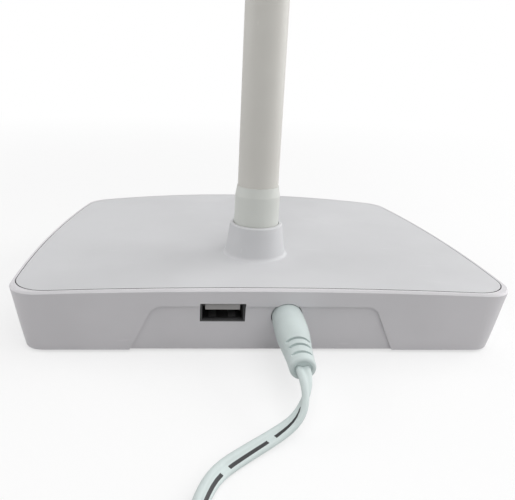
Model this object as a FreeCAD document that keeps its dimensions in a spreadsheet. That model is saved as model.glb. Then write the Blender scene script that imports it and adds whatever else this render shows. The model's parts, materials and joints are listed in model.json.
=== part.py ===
import FreeCAD, Part
import math
import os
import re

import Sketcher
from FreeCAD import Placement, Rotation, Vector

# LED desk lamp on a keystone base with a USB outlet and a low-voltage lead.
# Millimetres and degrees. The origin is on the stem's axis, on the table. The head points to -Y, the
# sockets face +Y and +Z is up. A base or head outline is a keystone: a straight rear edge, bowed sides
# and a bowed front, given by its corner points before they are rounded.
SIZES = {
    # base housing
    "base_rear_width": 163.4,
    "base_front_width": 145.0,
    "base_depth": 117.0,
    "base_side_bow": 4.2,
    "base_front_bow": 10.8,
    "base_rear_corner": 11.5,
    "base_front_corner": 10.0,
    "base_setback": 36.2,
    "base_height": 24.1,
    "base_crown": 1.9,
    "base_draft": 10.25,
    "base_wall": 2.8,
    "base_floor": 2.0,
    "rim_width": 1.7,
    "rim_bevel": 0.65,
    "cover_corner": 12.0,
    "base_foot_corner_share": 0.6,
    "seam_gap": 0.35,
    "cover_thick": 2.2,
    # rubber pad under the base
    "pad_proud": 1.0,
    "pad_sunk": 0.8,
    "pad_inset": 18.0,
    "pad_corner": 6.0,
    "pad_gap": 0.2,
    # shallow panel round the sockets
    "panel_depth": 0.8,
    "panel_top_width": 70.0,
    "panel_foot_width": 91.6,
    "panel_height": 17.2,
    "panel_corner": 2.6,
    # posts, bosses and screws that close the base
    "post_rear_x": 67.0,
    "post_rear_y": 24.0,
    "post_front_x": 57.0,
    "post_front_y": -73.0,
    "post_radius": 4.0,
    "post_height": 8.0,
    "boss_radius": 3.5,
    "boss_depth": 9.6,
    "screw_radius": 1.45,
    "screw_gap": 0.05,
    "screw_crown_share": 0.75,
    "screw_edge_share": 0.5,
    "screw_tip_share": 0.5,
    "screw_length": 11.0,
    "screw_head_radius": 2.8,
    "screw_head_height": 2.0,
    "screw_seat": 2.6,
    "head_pocket_gap": 0.4,
    # steel weight
    "weight_thick": 8.0,
    "weight_gap": 2.0,
    "weight_rear": 15.0,
    "weight_post_gap": 0.8,
    "rib_x": 32.0,
    "rib_thick": 2.0,
    "rib_front": 66.0,
    "rib_rear": 24.0,
    "rib_gap": 0.3,
    # collar and the stem's swivel
    "collar_height": 11.5,
    "collar_top_radius": 9.45,
    "collar_foot_radius": 10.9,
    "collar_blend": 1.2,
    "collar_round_share": 1.15,
    "collar_edge": 0.4,
    "hub_radius": 10.5,
    "hub_drop": 6.1,
    "sleeve_radius": 8.0,
    "sleeve_gap": 0.25,
    "sleeve_upper_radius": 7.95,
    "sleeve_lip_radius": 7.38,
    "sleeve_rise": 10.2,
    "sleeve_taper": 3.4,
    "sleeve_sunk": 6.0,
    "sleeve_seat": 3.4,
    "spigot_radius": 6.0,
    "spigot_gap": 0.08,
    "spigot_tail": 1.1,
    "wire_way_radius": 4.0,
    "thrust_washer": 0.6,
    "stop_ring": 0.8,
    "stop_ring_radius": 8.8,
    "stop_tab_radius": 13.0,
    "stop_tab_width": 4.0,
    "stop_gap": 0.2,
    "stop_post": 3.0,
    "wave_washer": 0.8,
    "wave_washer_radius": 8.6,
    "swivel_nut": 3.0,
    "swivel_nut_flats": 17.0,
    # stem tube and yoke
    "stem_radius": 7.2,
    "stem_wall": 1.0,
    "stem_fit": 0.05,
    "hinge_height": 345.0,
    "yoke_drop": 20.0,
    "yoke_plug": 18.0,
    "yoke_step": 2.0,
    "yoke_flare": 7.0,
    "yoke_radius": 9.5,
    "yoke_half_width": 7.6,
    "yoke_slot": 7.7,
    "yoke_slot_drop": 9.0,
    "cable_radius": 1.4,
    "cable_gap": 0.15,
    # hinge
    "hinge_pin_radius": 2.5,
    "hinge_fit": 0.05,
    "hinge_head_radius": 4.0,
    "hinge_head": 1.7,
    "hinge_thread_radius": 1.95,
    "hinge_nut_flats": 7.0,
    "hinge_recess_gap": 0.2,
    "hinge_cap_radius": 5.4,
    "hinge_cap": 1.0,
    "hinge_cap_round": 0.5,
    "knuckle_width": 6.0,
    "knuckle_radius": 8.0,
    "knuckle_washer": 0.8,
    "knuckle_washer_radius": 7.0,
    "knuckle_plate": 2.5,
    "knuckle_plate_side": 20.0,
    "knuckle_slot_gap": 0.3,
    "knuckle_screw_inset": 2.8,
    "knuckle_screw_radius": 1.2,
    "knuckle_screw_depth": 1.2,
    "knuckle_screw_head_radius": 2.1,
    "knuckle_screw_head": 1.1,
    # head housing
    "head_rear_width": 37.0,
    "head_front_width": 42.0,
    "head_depth": 295.0,
    "head_side_bow": 0.8,
    "head_front_bow": 3.0,
    "head_rear_corner": 7.0,
    "head_front_corner": 9.0,
    "head_setback": 14.0,
    "head_lift": 10.2,
    "head_height": 12.6,
    "head_crown": 1.3,
    "head_wall": 1.8,
    "head_seam": 3.8,
    "head_edge": 1.6,
    "bezel_edge": 0.9,
    "bezel_floor": 1.8,
    "bezel_groove": 0.3,
    # lamp window and light source
    "window_width": 23.2,
    "window_start": 54.0,
    "window_end": 268.0,
    "diffuser_thick": 1.2,
    "diffuser_lip": 1.0,
    "diffuser_gap": 0.1,
    "diffuser_recess": 0.3,
    "led_board_width": 23.0,
    "led_screw_share": 0.42,
    "led_board_thick": 1.2,
    "led_board_lift": 5.6,
    "led_screw_length": 3.4,
    "led_width": 2.8,
    "led_length": 3.5,
    "led_thick": 0.7,
    "led_row": 6.0,
    "led_pitch": 10.6,
    # bosses in the head
    "head_boss_radius": 2.3,
    "head_boss_rear_x": 13.6,
    "head_boss_rear_y": 7.5,
    "head_boss_front_x": 14.5,
    "head_boss_front_y": 275.0,
    "head_rib": 1.2,
    "head_rib_gap": 0.4,
    "head_screw_radius": 1.05,
    "head_screw_length": 7.0,
    "head_screw_head_radius": 1.9,
    "head_screw_head": 1.1,
    "head_screw_seat": 1.4,
    # controls
    "switch_board_width": 25.0,
    "switch_board_start": 13.5,
    "switch_board_end": 50.0,
    "switch_board_thick": 1.2,
    "switch_board_lift": 4.0,
    "switch_board_hole_inset": 2.5,
    "tact_side": 6.0,
    "tact_height": 1.9,
    "tact_tip_radius": 1.7,
    "tact_tip": 0.4,
    "button_y": 19.5,
    "button_radius": 5.5,
    "button_gap": 0.3,
    "button_proud": 0.8,
    "button_travel": 0.8,
    "button_flange": 1.1,
    "button_flange_thick": 1.0,
    "button_flange_gap": 0.25,
    "button_edge": 0.5,
    "button_stalk_radius": 1.6,
    "rocker_y": 37.0,
    "rocker_width": 9.0,
    "rocker_length": 20.0,
    "rocker_gap": 0.4,
    "rocker_dish": 0.5,
    "rocker_proud": 0.8,
    "rocker_thick": 3.2,
    "rocker_pivot_radius": 0.8,
    "rocker_pivot_length": 1.6,
    "rocker_pivot_drop": 1.2,
    "rocker_ear": 1.4,
    "rocker_ear_width": 4.4,
    "rocker_foot": 1.4,
    "rocker_foot_y": 6.5,
    "rocker_swing": 4.0,
    "rocker_slack": 0.05,
    # circuit board in the base
    "board_left": -19.0,
    "board_right": 31.0,
    "board_front": 13.0,
    "board_rear": 29.9,
    "board_thick": 1.6,
    "board_lift": 3.7,
    "standoff_sunk_share": 0.33,
    "board_hole_inset": 3.0,
    "standoff_radius": 2.6,
    "switch_standoff_radius": 2.35,
    "board_screw_radius": 1.2,
    "board_screw_head_radius": 2.2,
    "board_screw_head": 1.4,
    "capacitor_x": -8.0,
    "capacitor_y": 16.6,
    "capacitor_radius": 3.15,
    "capacitor_height": 7.0,
    "choke_x": 24.0,
    "choke_y": 21.5,
    "choke_radius": 3.3,
    "choke_height": 3.6,
    "driver_x": 10.0,
    "driver_y": 14.0,
    "driver_side": 4.2,
    "driver_height": 1.5,
    "cable_socket_y": 15.2,
    "cable_socket_width": 7.6,
    "cable_socket_depth": 4.6,
    "cable_socket_height": 5.6,
    "cable_rise": 2.0,
    # usb outlet
    "usb_x": 13.5,
    "usb_z": 15.4,
    "usb_cutout_width": 14.3,
    "usb_cutout_height": 6.84,
    "usb_shell_width": 13.2,
    "usb_shell_height": 5.8,
    "usb_shell_wall": 0.35,
    "usb_shell_length": 13.0,
    "usb_lip": 0.4,
    "usb_lip_length": 0.8,
    "usb_mouth_sunk": 0.5,
    "usb_tongue_width": 11.1,
    "usb_tongue_thick": 1.84,
    "usb_tongue_top": 0.4,
    "usb_tongue_sunk": 0.9,
    "usb_block": 3.0,
    "usb_back": 1.4,
    "usb_riser_width": 12.0,
    "usb_riser_length": 10.0,
    "usb_contact_width": 1.0,
    "usb_contact_thick": 0.25,
    "usb_contact_inner": 1.0,
    "usb_contact_outer": 3.5,
    # low-voltage socket and plug
    "jack_x": -7.1,
    "jack_z": 14.0,
    "jack_width": 9.0,
    "jack_height": 11.0,
    "jack_front": 0.3,
    "jack_sunk": 3.4,
    "jack_snout_radius": 4.75,
    "jack_length": 9.0,
    "jack_bore": 3.15,
    "jack_bore_depth": 9.4,
    "jack_back_wall": 1.2,
    "jack_pin_radius": 1.0,
    "jack_pin_short": 0.9,
    "jack_hole_radius": 5.05,
    "barrel_radius": 2.75,
    "barrel_bore": 1.25,
    "barrel_length": 9.0,
    "barrel_held": 5.0,
    "plug_front_radius": 4.6,
    "plug_body_radius": 5.0,
    "plug_neck_radius": 3.95,
    "plug_end_radius": 3.75,
    "plug_sunk": 2.9,
    "plug_body_end": 15.5,
    "plug_neck": 24.9,
    "plug_length": 30.8,
    "plug_bulge_radius": 90.0,
    "plug_edge": 0.4,
    "plug_end_round": 0.9,
    "plug_dish_radius": 2.7,
    "plug_dish": 0.5,
    "plug_slot_place_1": 21.4,
    "plug_slot_place_2": 24.2,
    "plug_slot_place_3": 27.7,
    "plug_slot_width": 1.0,
    "plug_slot_depth": 1.6,
    "plug_droop": 5.0,
    # flat twin lead, its coil and the mains adapter
    "cord_width": 4.2,
    "cord_thick": 2.1,
    "coil_x": -2.0,
    "coil_y": 147.0,
    "coil_outer": 28.8,
    "coil_inner": 16.8,
    "coil_layer": 5.1,
    "coil_dip": 3.0,
    "cord_rest": 0.05,
    "bend_share": 0.45,
    "cord_corner": 0.6,
    "adapter_x": -42.5,
    "adapter_width": 34.0,
    "adapter_height": 24.0,
    "adapter_length": 42.0,
    "adapter_seam_depth": 0.5,
    "adapter_seam": 0.4,
    "adapter_seam_share": 0.62,
    "adapter_round": 4.0,
    "adapter_edge": 1.2,
    "relief_height": 10.0,
    "relief_ring_depth": 0.6,
    "relief_length": 15.0,
    "relief_tip_radius": 3.1,
    "relief_foot_radius": 4.6,
    "blade_thick": 1.5,
    "blade_width": 6.3,
    "blade_length": 16.0,
    "blade_pitch": 12.7,
    "blade_tip": 1.6,
    "blade_hole_radius": 1.6,
    "blade_hole_share": 0.75,
    # reach of a cutting solid past the face that it cuts
    "overrun": 5.0,
}

# Centre line of the free lead between the plug and the coil, chosen by hand: down to the table and
# along it.
LEAD_ROUTE = [
    (-6.8, 70.5, 7.9),
    (-4.2, 75.2, 4.5),
    (1.6, 79.6, 2.5),
    (10.2, 85.8, 2.15),
    (17.8, 92.0, 2.15),
    (21.8, 99.8, 2.15),
    (24.4, 110.0, 2.15),
    (26.2, 121.0, 2.15),
    (26.8, 132.0, 2.15),
]
# Centre line of the short stretch between the coil and the adapter.
TAIL_ROUTE = [
    (-13.4, 175.6, 7.15),
    (-20.4, 175.8, 10.0),
]
COIL_TURNS_IN = 4.25
COIL_TURNS_UP = 0.5
COIL_TURNS_OUT = 4.5
STEPS_PER_TURN = 4
LEDS_PER_ROW = 20
PLUG_SLOTS = 1, 2, 3
RELIEF_RINGS = 4

doc = FreeCAD.newDocument("led_desk_lamp")
sheet = doc.addObject("Spreadsheet::Sheet", "sizes")
for row, (alias, number) in enumerate(SIZES.items(), 1):
    sheet.set(f"A{row}", alias)
    sheet.set(f"B{row}", str(number))
    sheet.setAlias(f"B{row}", alias)
doc.recompute()

nodes = {}


def cells(text):
    """The text as a document expression: every size's name gets its sheet in front."""
    return re.sub(r"[a-z_]\w*", lambda word: f"sizes.{word[0]}" if word[0] in SIZES else word[0], text)


def value(text):
    """What an expression in size names comes to, in millimetres or degrees."""
    return float(sheet.evalExpression(cells(text)))


def point(place):
    return Vector(*(value(text) for text in place))


def bind(item, **properties):
    for name, text in properties.items():
        item.setExpression(name, cells(text))
    return item


def place(item, at=("0", "0", "0"), turn=None):
    """Puts an object at a place in size names, turned by a rotation."""
    item.Placement = Placement(Vector(), turn or Rotation())
    for axis, text in zip("xyz", at, strict=True):
        item.setExpression(f".Placement.Base.{axis}", cells(text))
    return item


def node(name, item):
    """Keeps an object as the sub-part of that name."""
    item.Label = name
    nodes[name] = item
    return item


# Document objects

ALONG = {
    "X": Rotation(Vector(0, 1, 0), 90),
    "Y": Rotation(Vector(1, 0, 0), -90),
    "Z": Rotation(),
}


def cylinder(name, radius, height, at, along="Z"):
    item = bind(doc.addObject("Part::Cylinder", name), Radius=radius, Height=height)
    return place(item, at, ALONG[along])


def block(name, low, size):
    """A box from its lowest corner and its three sizes."""
    length, width, height = size
    item = bind(doc.addObject("Part::Box", name), Length=length, Width=width, Height=height)
    return place(item, low)


def centred_block(name, centre, size):
    return block(name, [f"{c} - ({s})/2" for c, s in zip(centre, size, strict=True)], size)


def hexagon(name, flats, height, at, along="Z"):
    item = doc.addObject("Part::Prism", name)
    item.Polygon = 6
    bind(item, Circumradius=f"({flats})/sqrt(3)", Height=height)
    return place(item, at, ALONG[along])


def cut(name, base, *tools):
    for tool in tools:
        item = doc.addObject("Part::Cut", name)
        item.Base, item.Tool = base, tool
        base = item
    return base


def fuse(name, *parts):
    item = doc.addObject("Part::MultiFuse", name)
    item.Shapes = list(parts)
    return item


def common(name, *parts):
    item = doc.addObject("Part::MultiCommon", name)
    item.Shapes = list(parts)
    return item


def group(name, *parts):
    item = doc.addObject("Part::Compound", name)
    item.Links = list(parts)
    return item


def rounded(name, base, radius, wanted, kind="Part::Fillet"):
    """Rounds or bevels the edges of an object that a test picks."""
    base.recompute(True)
    size = value(radius)
    picked = [(i, size, size) for i, edge in enumerate(base.Shape.Edges, 1) if wanted(edge)]
    item = doc.addObject(kind, name)
    item.Base = base
    item.Edges = picked
    return item


def arc_between(start, end, radius, left):
    """The minor arc between two points, with its centre on the left or the right of the way."""
    chord = end - start
    side = Vector(-chord.y, chord.x, 0).normalize() * (1 if left else -1)
    reach = math.sqrt(radius**2 - (chord.Length / 2) ** 2)
    centre = (start + end) / 2 + side * reach
    return Part.Arc(start, centre - side * radius, end)


def draw(sketch, corners, arcs=None):
    """Draws a closed outline through corners given in size names, and binds it to them.

    arcs holds, for the edge after a corner, its radius and whether its centre is on the left.
    """
    arcs = arcs or {}
    ends = [Vector(value(x), value(y), 0) for x, y in corners]
    count = len(ends)
    starts = []
    for i, start in enumerate(ends):
        end = ends[(i + 1) % count]
        if i in arcs:
            radius, left = arcs[i]
            sketch.addGeometry(arc_between(start, end, value(radius), left))
            starts.append(1 if left else 2)
        else:
            sketch.addGeometry(Part.LineSegment(start, end))
            starts.append(1)
    for i in range(count):
        after = (i + 1) % count
        sketch.addConstraint(Sketcher.Constraint("Coincident", i, 3 - starts[i], after, starts[after]))
    for i, corner in enumerate(corners):
        for kind, text in zip(("DistanceX", "DistanceY"), corner, strict=True):
            rule = sketch.addConstraint(Sketcher.Constraint(kind, -1, 1, i, starts[i], value(text)))
            sketch.setExpression(f"Constraints[{rule}]", cells(text))
    for i, (radius, _) in arcs.items():
        rule = sketch.addConstraint(Sketcher.Constraint("Radius", i, value(radius)))
        sketch.setExpression(f"Constraints[{rule}]", cells(radius))
    return sketch


def profile(body, plane, corners, arcs=None):
    """A sketch on one of a body's own planes."""
    sketch = body.newObject("Sketcher::SketchObject", f"{body.Name}_profile")
    origin_plane = next(o for o in body.Origin.OriginFeatures if o.Role == plane)
    sketch.AttachmentSupport = [(origin_plane, "")]
    sketch.MapMode = "FlatFace"
    return draw(sketch, corners, arcs)


def turned(name, corners, at=("0", "0", "0"), turn=None, arcs=None):
    """A body turned about its own Z axis from corners (radius, height)."""
    body = doc.addObject("PartDesign::Body", name)
    sketch = profile(body, "XZ_Plane", corners, arcs)
    spin = body.newObject("PartDesign::Revolution", f"{name}_spin")
    spin.Profile = sketch
    spin.ReferenceAxis = (sketch, ["V_Axis"])
    spin.Angle = 360
    return place(body, at, turn)


def padded(name, plane, corners, length, at=("0", "0", "0"), arcs=None, turn=None):
    """A body of an even section, half of its length on each side of the plane."""
    body = doc.addObject("PartDesign::Body", name)
    sketch = profile(body, plane, corners, arcs)
    pad = body.newObject("PartDesign::Pad", f"{name}_pad")
    pad.Profile = sketch
    pad.Midplane = True
    bind(pad, Length=length)
    return place(body, at, turn)


# Keystone outlines, shared by the base and the head


def keystone_outline(kind, height):
    """The outline of the base or the head at a height, with sharp corners."""
    sketch = doc.addObject("Sketcher::SketchObject", f"{kind}_outline")
    front = f"{kind}_setback - {kind}_depth"
    corners = [
        (f"{kind}_rear_width/2", f"{kind}_setback"),
        (f"-{kind}_rear_width/2", f"{kind}_setback"),
        (f"-{kind}_front_width/2", front),
        (f"{kind}_front_width/2", front),
    ]
    side = f"(({kind}_rear_width - {kind}_front_width)^2/4 + {kind}_depth^2)/(8*{kind}_side_bow)"
    bow = f"{kind}_front_width^2/(8*{kind}_front_bow)"
    side_radius = f"{side} + {kind}_side_bow/2"
    arcs = {1: (side_radius, True), 2: (f"{bow} + {kind}_front_bow/2", True), 3: (side_radius, True)}
    draw(sketch, corners, arcs)
    sketch.setExpression(".Placement.Base.z", cells(height))
    return sketch


def prism(name, kind, outline, inset, down, up="0", draft="0", corner=None, foot_share="1"):
    """A keystone prism set in from an outline, with its four upright corners rounded."""
    source = outline
    if inset != "0":
        source = doc.addObject("Part::Offset2D", f"{name}_inset")
        source.Source = outline
        source.Mode = "Pipe"
        source.Join = "Intersection"
        source.Fill = False
        bind(source, Value=f"-({inset})")
    solid = doc.addObject("Part::Extrusion", f"{name}_block")
    solid.Base = source
    solid.DirMode = "Custom"
    solid.Dir = Vector(0, 0, -1)
    solid.Solid = True
    bind(solid, LengthFwd=down, LengthRev=up, TaperAngle=f"-({draft})")
    solid.recompute(True)
    rear = value(corner or f"{kind}_rear_corner - ({inset})")
    front = value(corner or f"{kind}_front_corner - ({inset})")
    picked = []
    for i, edge in enumerate(solid.Shape.Edges, 1):
        ends = edge.Vertexes
        if abs(ends[0].Z - ends[-1].Z) > value("rim_bevel"):
            radius = rear if ends[0].Y > 0 else front
            foot = radius * value(foot_share)
            picked.append((i, radius, foot) if ends[0].Z > ends[-1].Z else (i, foot, radius))
    item = doc.addObject("Part::Fillet", name)
    item.Base = solid
    item.Edges = picked
    return item


def crown(name, kind, top, drop):
    """Everything under a housing's crowned top, lowered by a drop."""
    half = f"({kind}_rear_width + {kind}_front_width)/2"
    radius = f"({kind}_rear_width^2/(8*{kind}_crown) + {kind}_crown/2)"
    edge = f"{top} - ({drop}) - {radius} + sqrt({radius}^2 - ({half})^2)"
    corners = [(f"-{half}", f"-overrun"), (half, "-overrun"), (half, edge), (f"-{half}", edge)]
    length = f"4*({kind}_depth + {kind}_front_bow)"
    return padded(name, "XZ_Plane", corners, length, arcs={2: (radius, True)})


def level(name, kind, low, high):
    """Everything between two heights over a housing's whole plan."""
    reach = f"(2*({kind}_depth + {kind}_front_bow))"
    return block(name, (f"-{reach}", f"-{reach}", low), (f"2*{reach}", f"2*{reach}", f"({high}) - ({low})"))


# Tubes and the flat lead


def corner_arcs(points):
    """Straight runs joined by tangent arcs that take the same share of the shorter run."""
    edges, radii, at = [], [], points[0]
    for before, corner, after in zip(points, points[1:], points[2:], strict=False):
        into, out = corner - before, after - corner
        reach = value("bend_share") * min(into.Length, out.Length)
        into, out = into.normalize(), out.normalize()
        half_turn = into.getAngle(out) / 2
        start, end = corner - into * reach, corner + out * reach
        radius = reach / math.tan(half_turn)
        inward = (out - into).normalize()
        middle = corner + inward * (radius / math.cos(half_turn) - radius)
        edges += [Part.LineSegment(at, start).toShape(), Part.Arc(start, middle, end).toShape()]
        radii.append(radius)
        at = end
    edges.append(Part.LineSegment(at, points[-1]).toShape())
    return edges, radii


def biarc(start, start_way, end, end_way):
    """Two tangent arcs between two points with given directions."""
    chord, ways = end - start, start_way + end_way
    across = 2 * (1 - start_way.dot(end_way))
    along = chord.dot(ways)
    reach = (math.sqrt(along**2 + across * chord.dot(chord)) - along) / across
    first, last = start + start_way * reach, end - end_way * reach
    middle = (first + last) / 2
    arcs = []
    for a, corner, b in ((start, first, middle), (middle, last, end)):
        half_chord = (b - a).Length / 2
        cosine = half_chord / reach
        bow = (corner - (a + b) / 2) * (cosine / (1 + cosine))
        arcs.append(Part.Arc(a, (a + b) / 2 + bow, b).toShape())
    return arcs


def lead_section(start, way):
    """The flat lead's section, standing on its narrow edge, with its corners cut off."""
    up = Vector(0, 0, 1)
    side = way.cross(up).normalize()
    half_width, half_thick = value("cord_width/2"), value("cord_thick/2")
    corner = value("cord_corner")
    quarter = [(half_thick, half_width - corner), (half_thick - corner, half_width)]
    corners = [(x, y) for x, y in quarter] + [(-x, y) for x, y in reversed(quarter)]
    corners += [(-x, -y) for x, y in corners]
    points = [start + side * x + up * y for x, y in corners]
    return Part.makePolygon(points + points[:1])


def swept(name, edges, section, upright=False):
    """A solid along a path, with its volume printed against its section times its length."""
    path = Part.Wire(edges)
    shell = Part.BRepOffsetAPI.MakePipeShell(path)
    if upright:
        shell.setBiNormalMode(Vector(0, 0, 1))
    shell.add(section)
    shell.build()
    shell.makeSolid()
    item = doc.addObject("Part::Feature", name)
    item.Shape = shell.shape()
    item.Placement = Placement()
    share = item.Shape.Volume / (Part.Face(section).Area * path.Length)
    print(f"{name}: {path.Length:.0f} mm long, volume {share:.3f} of section times length")
    return item


# Heights and places that several pieces share

FLOOR_TOP = "(pad_proud + base_floor)"
POST_TOP = "(pad_proud + post_height)"
SCREW_FACE = f"({POST_TOP} - screw_seat)"
BOARD_UNDER = f"({FLOOR_TOP} + board_lift)"
BOARD_TOP = f"({BOARD_UNDER} + board_thick)"
COLLAR_TOP = "(base_height + collar_height)"
SLEEVE_FOOT = f"({COLLAR_TOP} - sleeve_sunk)"
TUBE_FOOT = f"({SLEEVE_FOOT} + sleeve_seat)"
HUB_UNDER = "(base_height - hub_drop)"
RING_UNDER = f"({HUB_UNDER} - stop_ring)"
WAVE_UNDER = f"({RING_UNDER} - wave_washer)"
NUT_UNDER = f"({WAVE_UNDER} - swivel_nut)"
SPIGOT_FOOT = f"({NUT_UNDER} - spigot_tail)"
TUBE_TOP = "(hinge_height - yoke_drop)"
HEAD_UNDER = "(hinge_height + head_lift)"
HEAD_SEAM = f"({HEAD_UNDER} + head_seam)"
HEAD_TOP = f"({HEAD_UNDER} + head_height)"
BEZEL_TOP = f"({HEAD_UNDER} + bezel_floor)"
LED_BOARD_UNDER = f"({HEAD_UNDER} + led_board_lift)"
SWITCH_BOARD_UNDER = f"({HEAD_UNDER} + switch_board_lift)"
SWITCH_BOARD_TOP = f"({SWITCH_BOARD_UNDER} + switch_board_thick)"
TACT_TIP = f"({SWITCH_BOARD_TOP} + tact_height + tact_tip)"
ROCKER_AXIS = f"({HEAD_TOP} - head_wall - rocker_pivot_drop)"

BOTH_SIDES = (1, -1)
POSTS = [
    (f"({side}*post_{end}_x)", f"post_{end}_y") for end in ("rear", "front") for side in BOTH_SIDES
]
BOARD_HOLES = [
    (x, y)
    for x in ("(board_left + board_hole_inset)", "(board_right - board_hole_inset)")
    for y in ("(board_front + board_hole_inset)", "(board_rear - board_hole_inset)")
]
HEAD_BOSSES = [(f"({side}*head_boss_rear_x)", "head_boss_rear_y") for side in BOTH_SIDES]
HEAD_BOSSES += [(f"({side}*head_boss_front_x)", "(-head_boss_front_y)") for side in BOTH_SIDES]
LED_SCREWS = [
    f"(-(window_start + window_end)/2 + {step}*(window_end - window_start)*led_screw_share)" for step in (
        -1, 0, 1
    )
]
SWITCH_HOLES = [
    (f"({side}*(switch_board_width/2 - switch_board_hole_inset))", y)
    for side in BOTH_SIDES
    for y in (
        "(-switch_board_start - switch_board_hole_inset)",
        "(-switch_board_end + switch_board_hole_inset)",
    )
]
KNUCKLE_SCREWS = [
    (
        f"({a}*(knuckle_plate_side/2 - knuckle_screw_inset))",
        f"({b}*(knuckle_plate_side/2 - knuckle_screw_inset))",
    )
    for a in BOTH_SIDES
    for b in BOTH_SIDES
]
TACT_SWITCHES = ["(-button_y)", "(-rocker_y - rocker_foot_y)", "(-rocker_y + rocker_foot_y)"]


def wall_y(height):
    """Where the outside of the leaning rear wall is at a height."""
    return f"(base_setback - (base_height - ({height}))*tan(base_draft*1deg))"


def crown_z(kind, top, x):
    """The height of a crowned top at a distance from its middle."""
    return f"({top} - {kind}_crown*(2*({x})/{kind}_rear_width)^2)"


def screw(name, at, radius, length, head_radius, head, up=True):
    """A pan-head screw with the underside of its head at a place, its shank upwards or downwards."""
    corners = [
        ("0", f"-({head})"),
        (f"({head_radius})*screw_crown_share", f"-({head})"),
        (head_radius, f"-({head})*screw_edge_share"),
        (head_radius, "0"),
        (radius, "0"),
        (radius, f"({length}) - ({radius})"),
        (f"({radius})*screw_tip_share", length),
        ("0", length),
    ]
    return turned(name, corners, at, None if up else Rotation(Vector(1, 0, 0), 180))


# Base housing


def build_base():
    outline = keystone_outline("base", "base_height")
    whole = "base_height - pad_proud"
    share = "base_foot_corner_share"
    shell = prism("tray_block", "base", outline, "0", whole, draft="base_draft", foot_share=share)
    shell = common("tray_crowned", shell, crown("tray_top", "base", "base_height", "0"))
    lowest = value("base_height - base_crown - rim_bevel")
    shell = rounded(
        "tray_bevelled", shell, "rim_bevel", lambda edge: edge.BoundBox.ZMin > lowest, "Part::Chamfer"
    )
    deep, wide = "cover_thick + base_crown + overrun", "cover_corner + seam_gap"
    seat = prism("seat_block", "base", outline, "rim_width", deep, up="overrun", corner=wide)
    seat = cut("seat_space", seat, crown("seat_face", "base", "base_height", "cover_thick"))
    deep = f"base_height - {FLOOR_TOP}"
    cavity = prism("cavity", "base", outline, "base_wall", deep, draft="base_draft", corner="cover_corner")
    recess = prism(
        "recess_block", "base", outline, "pad_inset - pad_gap", "base_height + overrun", corner="pad_corner"
    )
    recess = common("recess", recess, level("recess_level", "base", "-overrun", "pad_proud + pad_sunk"))
    tray = cut("tray_open", shell, seat, cavity, socket_panel(), usb_cutout(), jack_hole(), recess)
    tray = fuse("tray_fitted", tray, *posts(), *standoffs())
    node("base_tray", cut("tray", tray, *post_holes(), *standoff_holes()))

    depth = "cover_thick + base_crown + overrun"
    cover = prism("cover_block", "base", outline, "rim_width + seam_gap", depth, corner="cover_corner")
    cover = common("cover_crowned", cover, crown("cover_top", "base", "base_height", "0"))
    cover = cut("cover_plate", cover, crown("cover_under", "base", "base_height", "cover_thick"))
    hole = cylinder("cover_hole", "sleeve_radius + sleeve_gap", "2*base_height", ("0", "0", "0"))
    cover = fuse(
        "cover_fitted", cut("cover_open", cover, hole), collar(), *bosses(), *weight_ribs(), *stop_posts()
    )
    node("top_cover", cut("cover", cover, *boss_holes()))

    pad = prism("pad_block", "base", outline, "pad_inset", "base_height", corner="pad_corner - pad_gap")
    node("foot_pad", common("pad", pad, level("pad_level", "base", "0", "pad_proud + pad_sunk")))
    node("counterweight", weight(outline))
    screws = [
        screw(
            f"base_screw_{i}",
            (x, y, SCREW_FACE),
            "screw_radius",
            "screw_length",
            "screw_head_radius",
            "screw_head_height",
        )
        for i, (x, y) in enumerate(POSTS)
    ]
    node("base_screws", group("closing_screws", *screws))


def socket_panel():
    """The shallow panel round the sockets, which narrows upwards on the leaning rear wall."""
    top, foot = "panel_top_width/2", "panel_foot_width/2"
    spread = f"({foot} - {top})"
    slant = f"sqrt({spread}^2 + panel_height^2)"
    below = f"(panel_height - panel_corner*panel_height/{slant})"
    corners = [
        (f"-{foot}", "-overrun"),
        (foot, "-overrun"),
        (f"({top} + panel_corner*{spread}/{slant})", below),
        (f"({top} - panel_corner)", "panel_height"),
        (f"(-{top} + panel_corner)", "panel_height"),
        (f"(-{top} - panel_corner*{spread}/{slant})", below),
    ]
    radius = f"(panel_corner*panel_height/({slant} - {spread}))"
    arcs = {2: (radius, True), 4: (radius, True)}
    lean = math.radians(value("base_draft"))
    up = Vector(0, math.sin(lean), math.cos(lean))
    out = Vector(0, math.cos(lean), -math.sin(lean))
    turn = Rotation(Vector(-1, 0, 0), up, out, "XYZ")
    at = ("0", wall_y("pad_proud"), "pad_proud")
    return padded("socket_panel", "XY_Plane", corners, "2*panel_depth", at, arcs, turn)


def usb_cutout():
    size = ("usb_cutout_width", "2*base_wall + 2*overrun", "usb_cutout_height")
    return centred_block("usb_cutout", ("usb_x", wall_y("usb_z"), "usb_z"), size)


def jack_hole():
    start = f"{wall_y('jack_z')} - base_wall - overrun"
    return cylinder(
        "jack_hole", "jack_hole_radius", "base_wall + 2*overrun", ("jack_x", start, "jack_z"), "Y"
    )


def posts():
    return [
        cylinder(f"post_{i}", "post_radius", "post_height", (x, y, "pad_proud"))
        for i, (x, y) in enumerate(POSTS)
    ]


def post_holes():
    tools = []
    for i, (x, y) in enumerate(POSTS):
        depth = f"{SCREW_FACE} - pad_proud + overrun"
        wide = "screw_head_radius + head_pocket_gap"
        tools.append(cylinder(f"pocket_{i}", wide, depth, (x, y, "pad_proud - overrun")))
        tools.append(
            cylinder(f"post_hole_{i}", "screw_radius + screw_gap", "2*post_height", (x, y, "pad_proud"))
        )
    return tools


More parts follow.
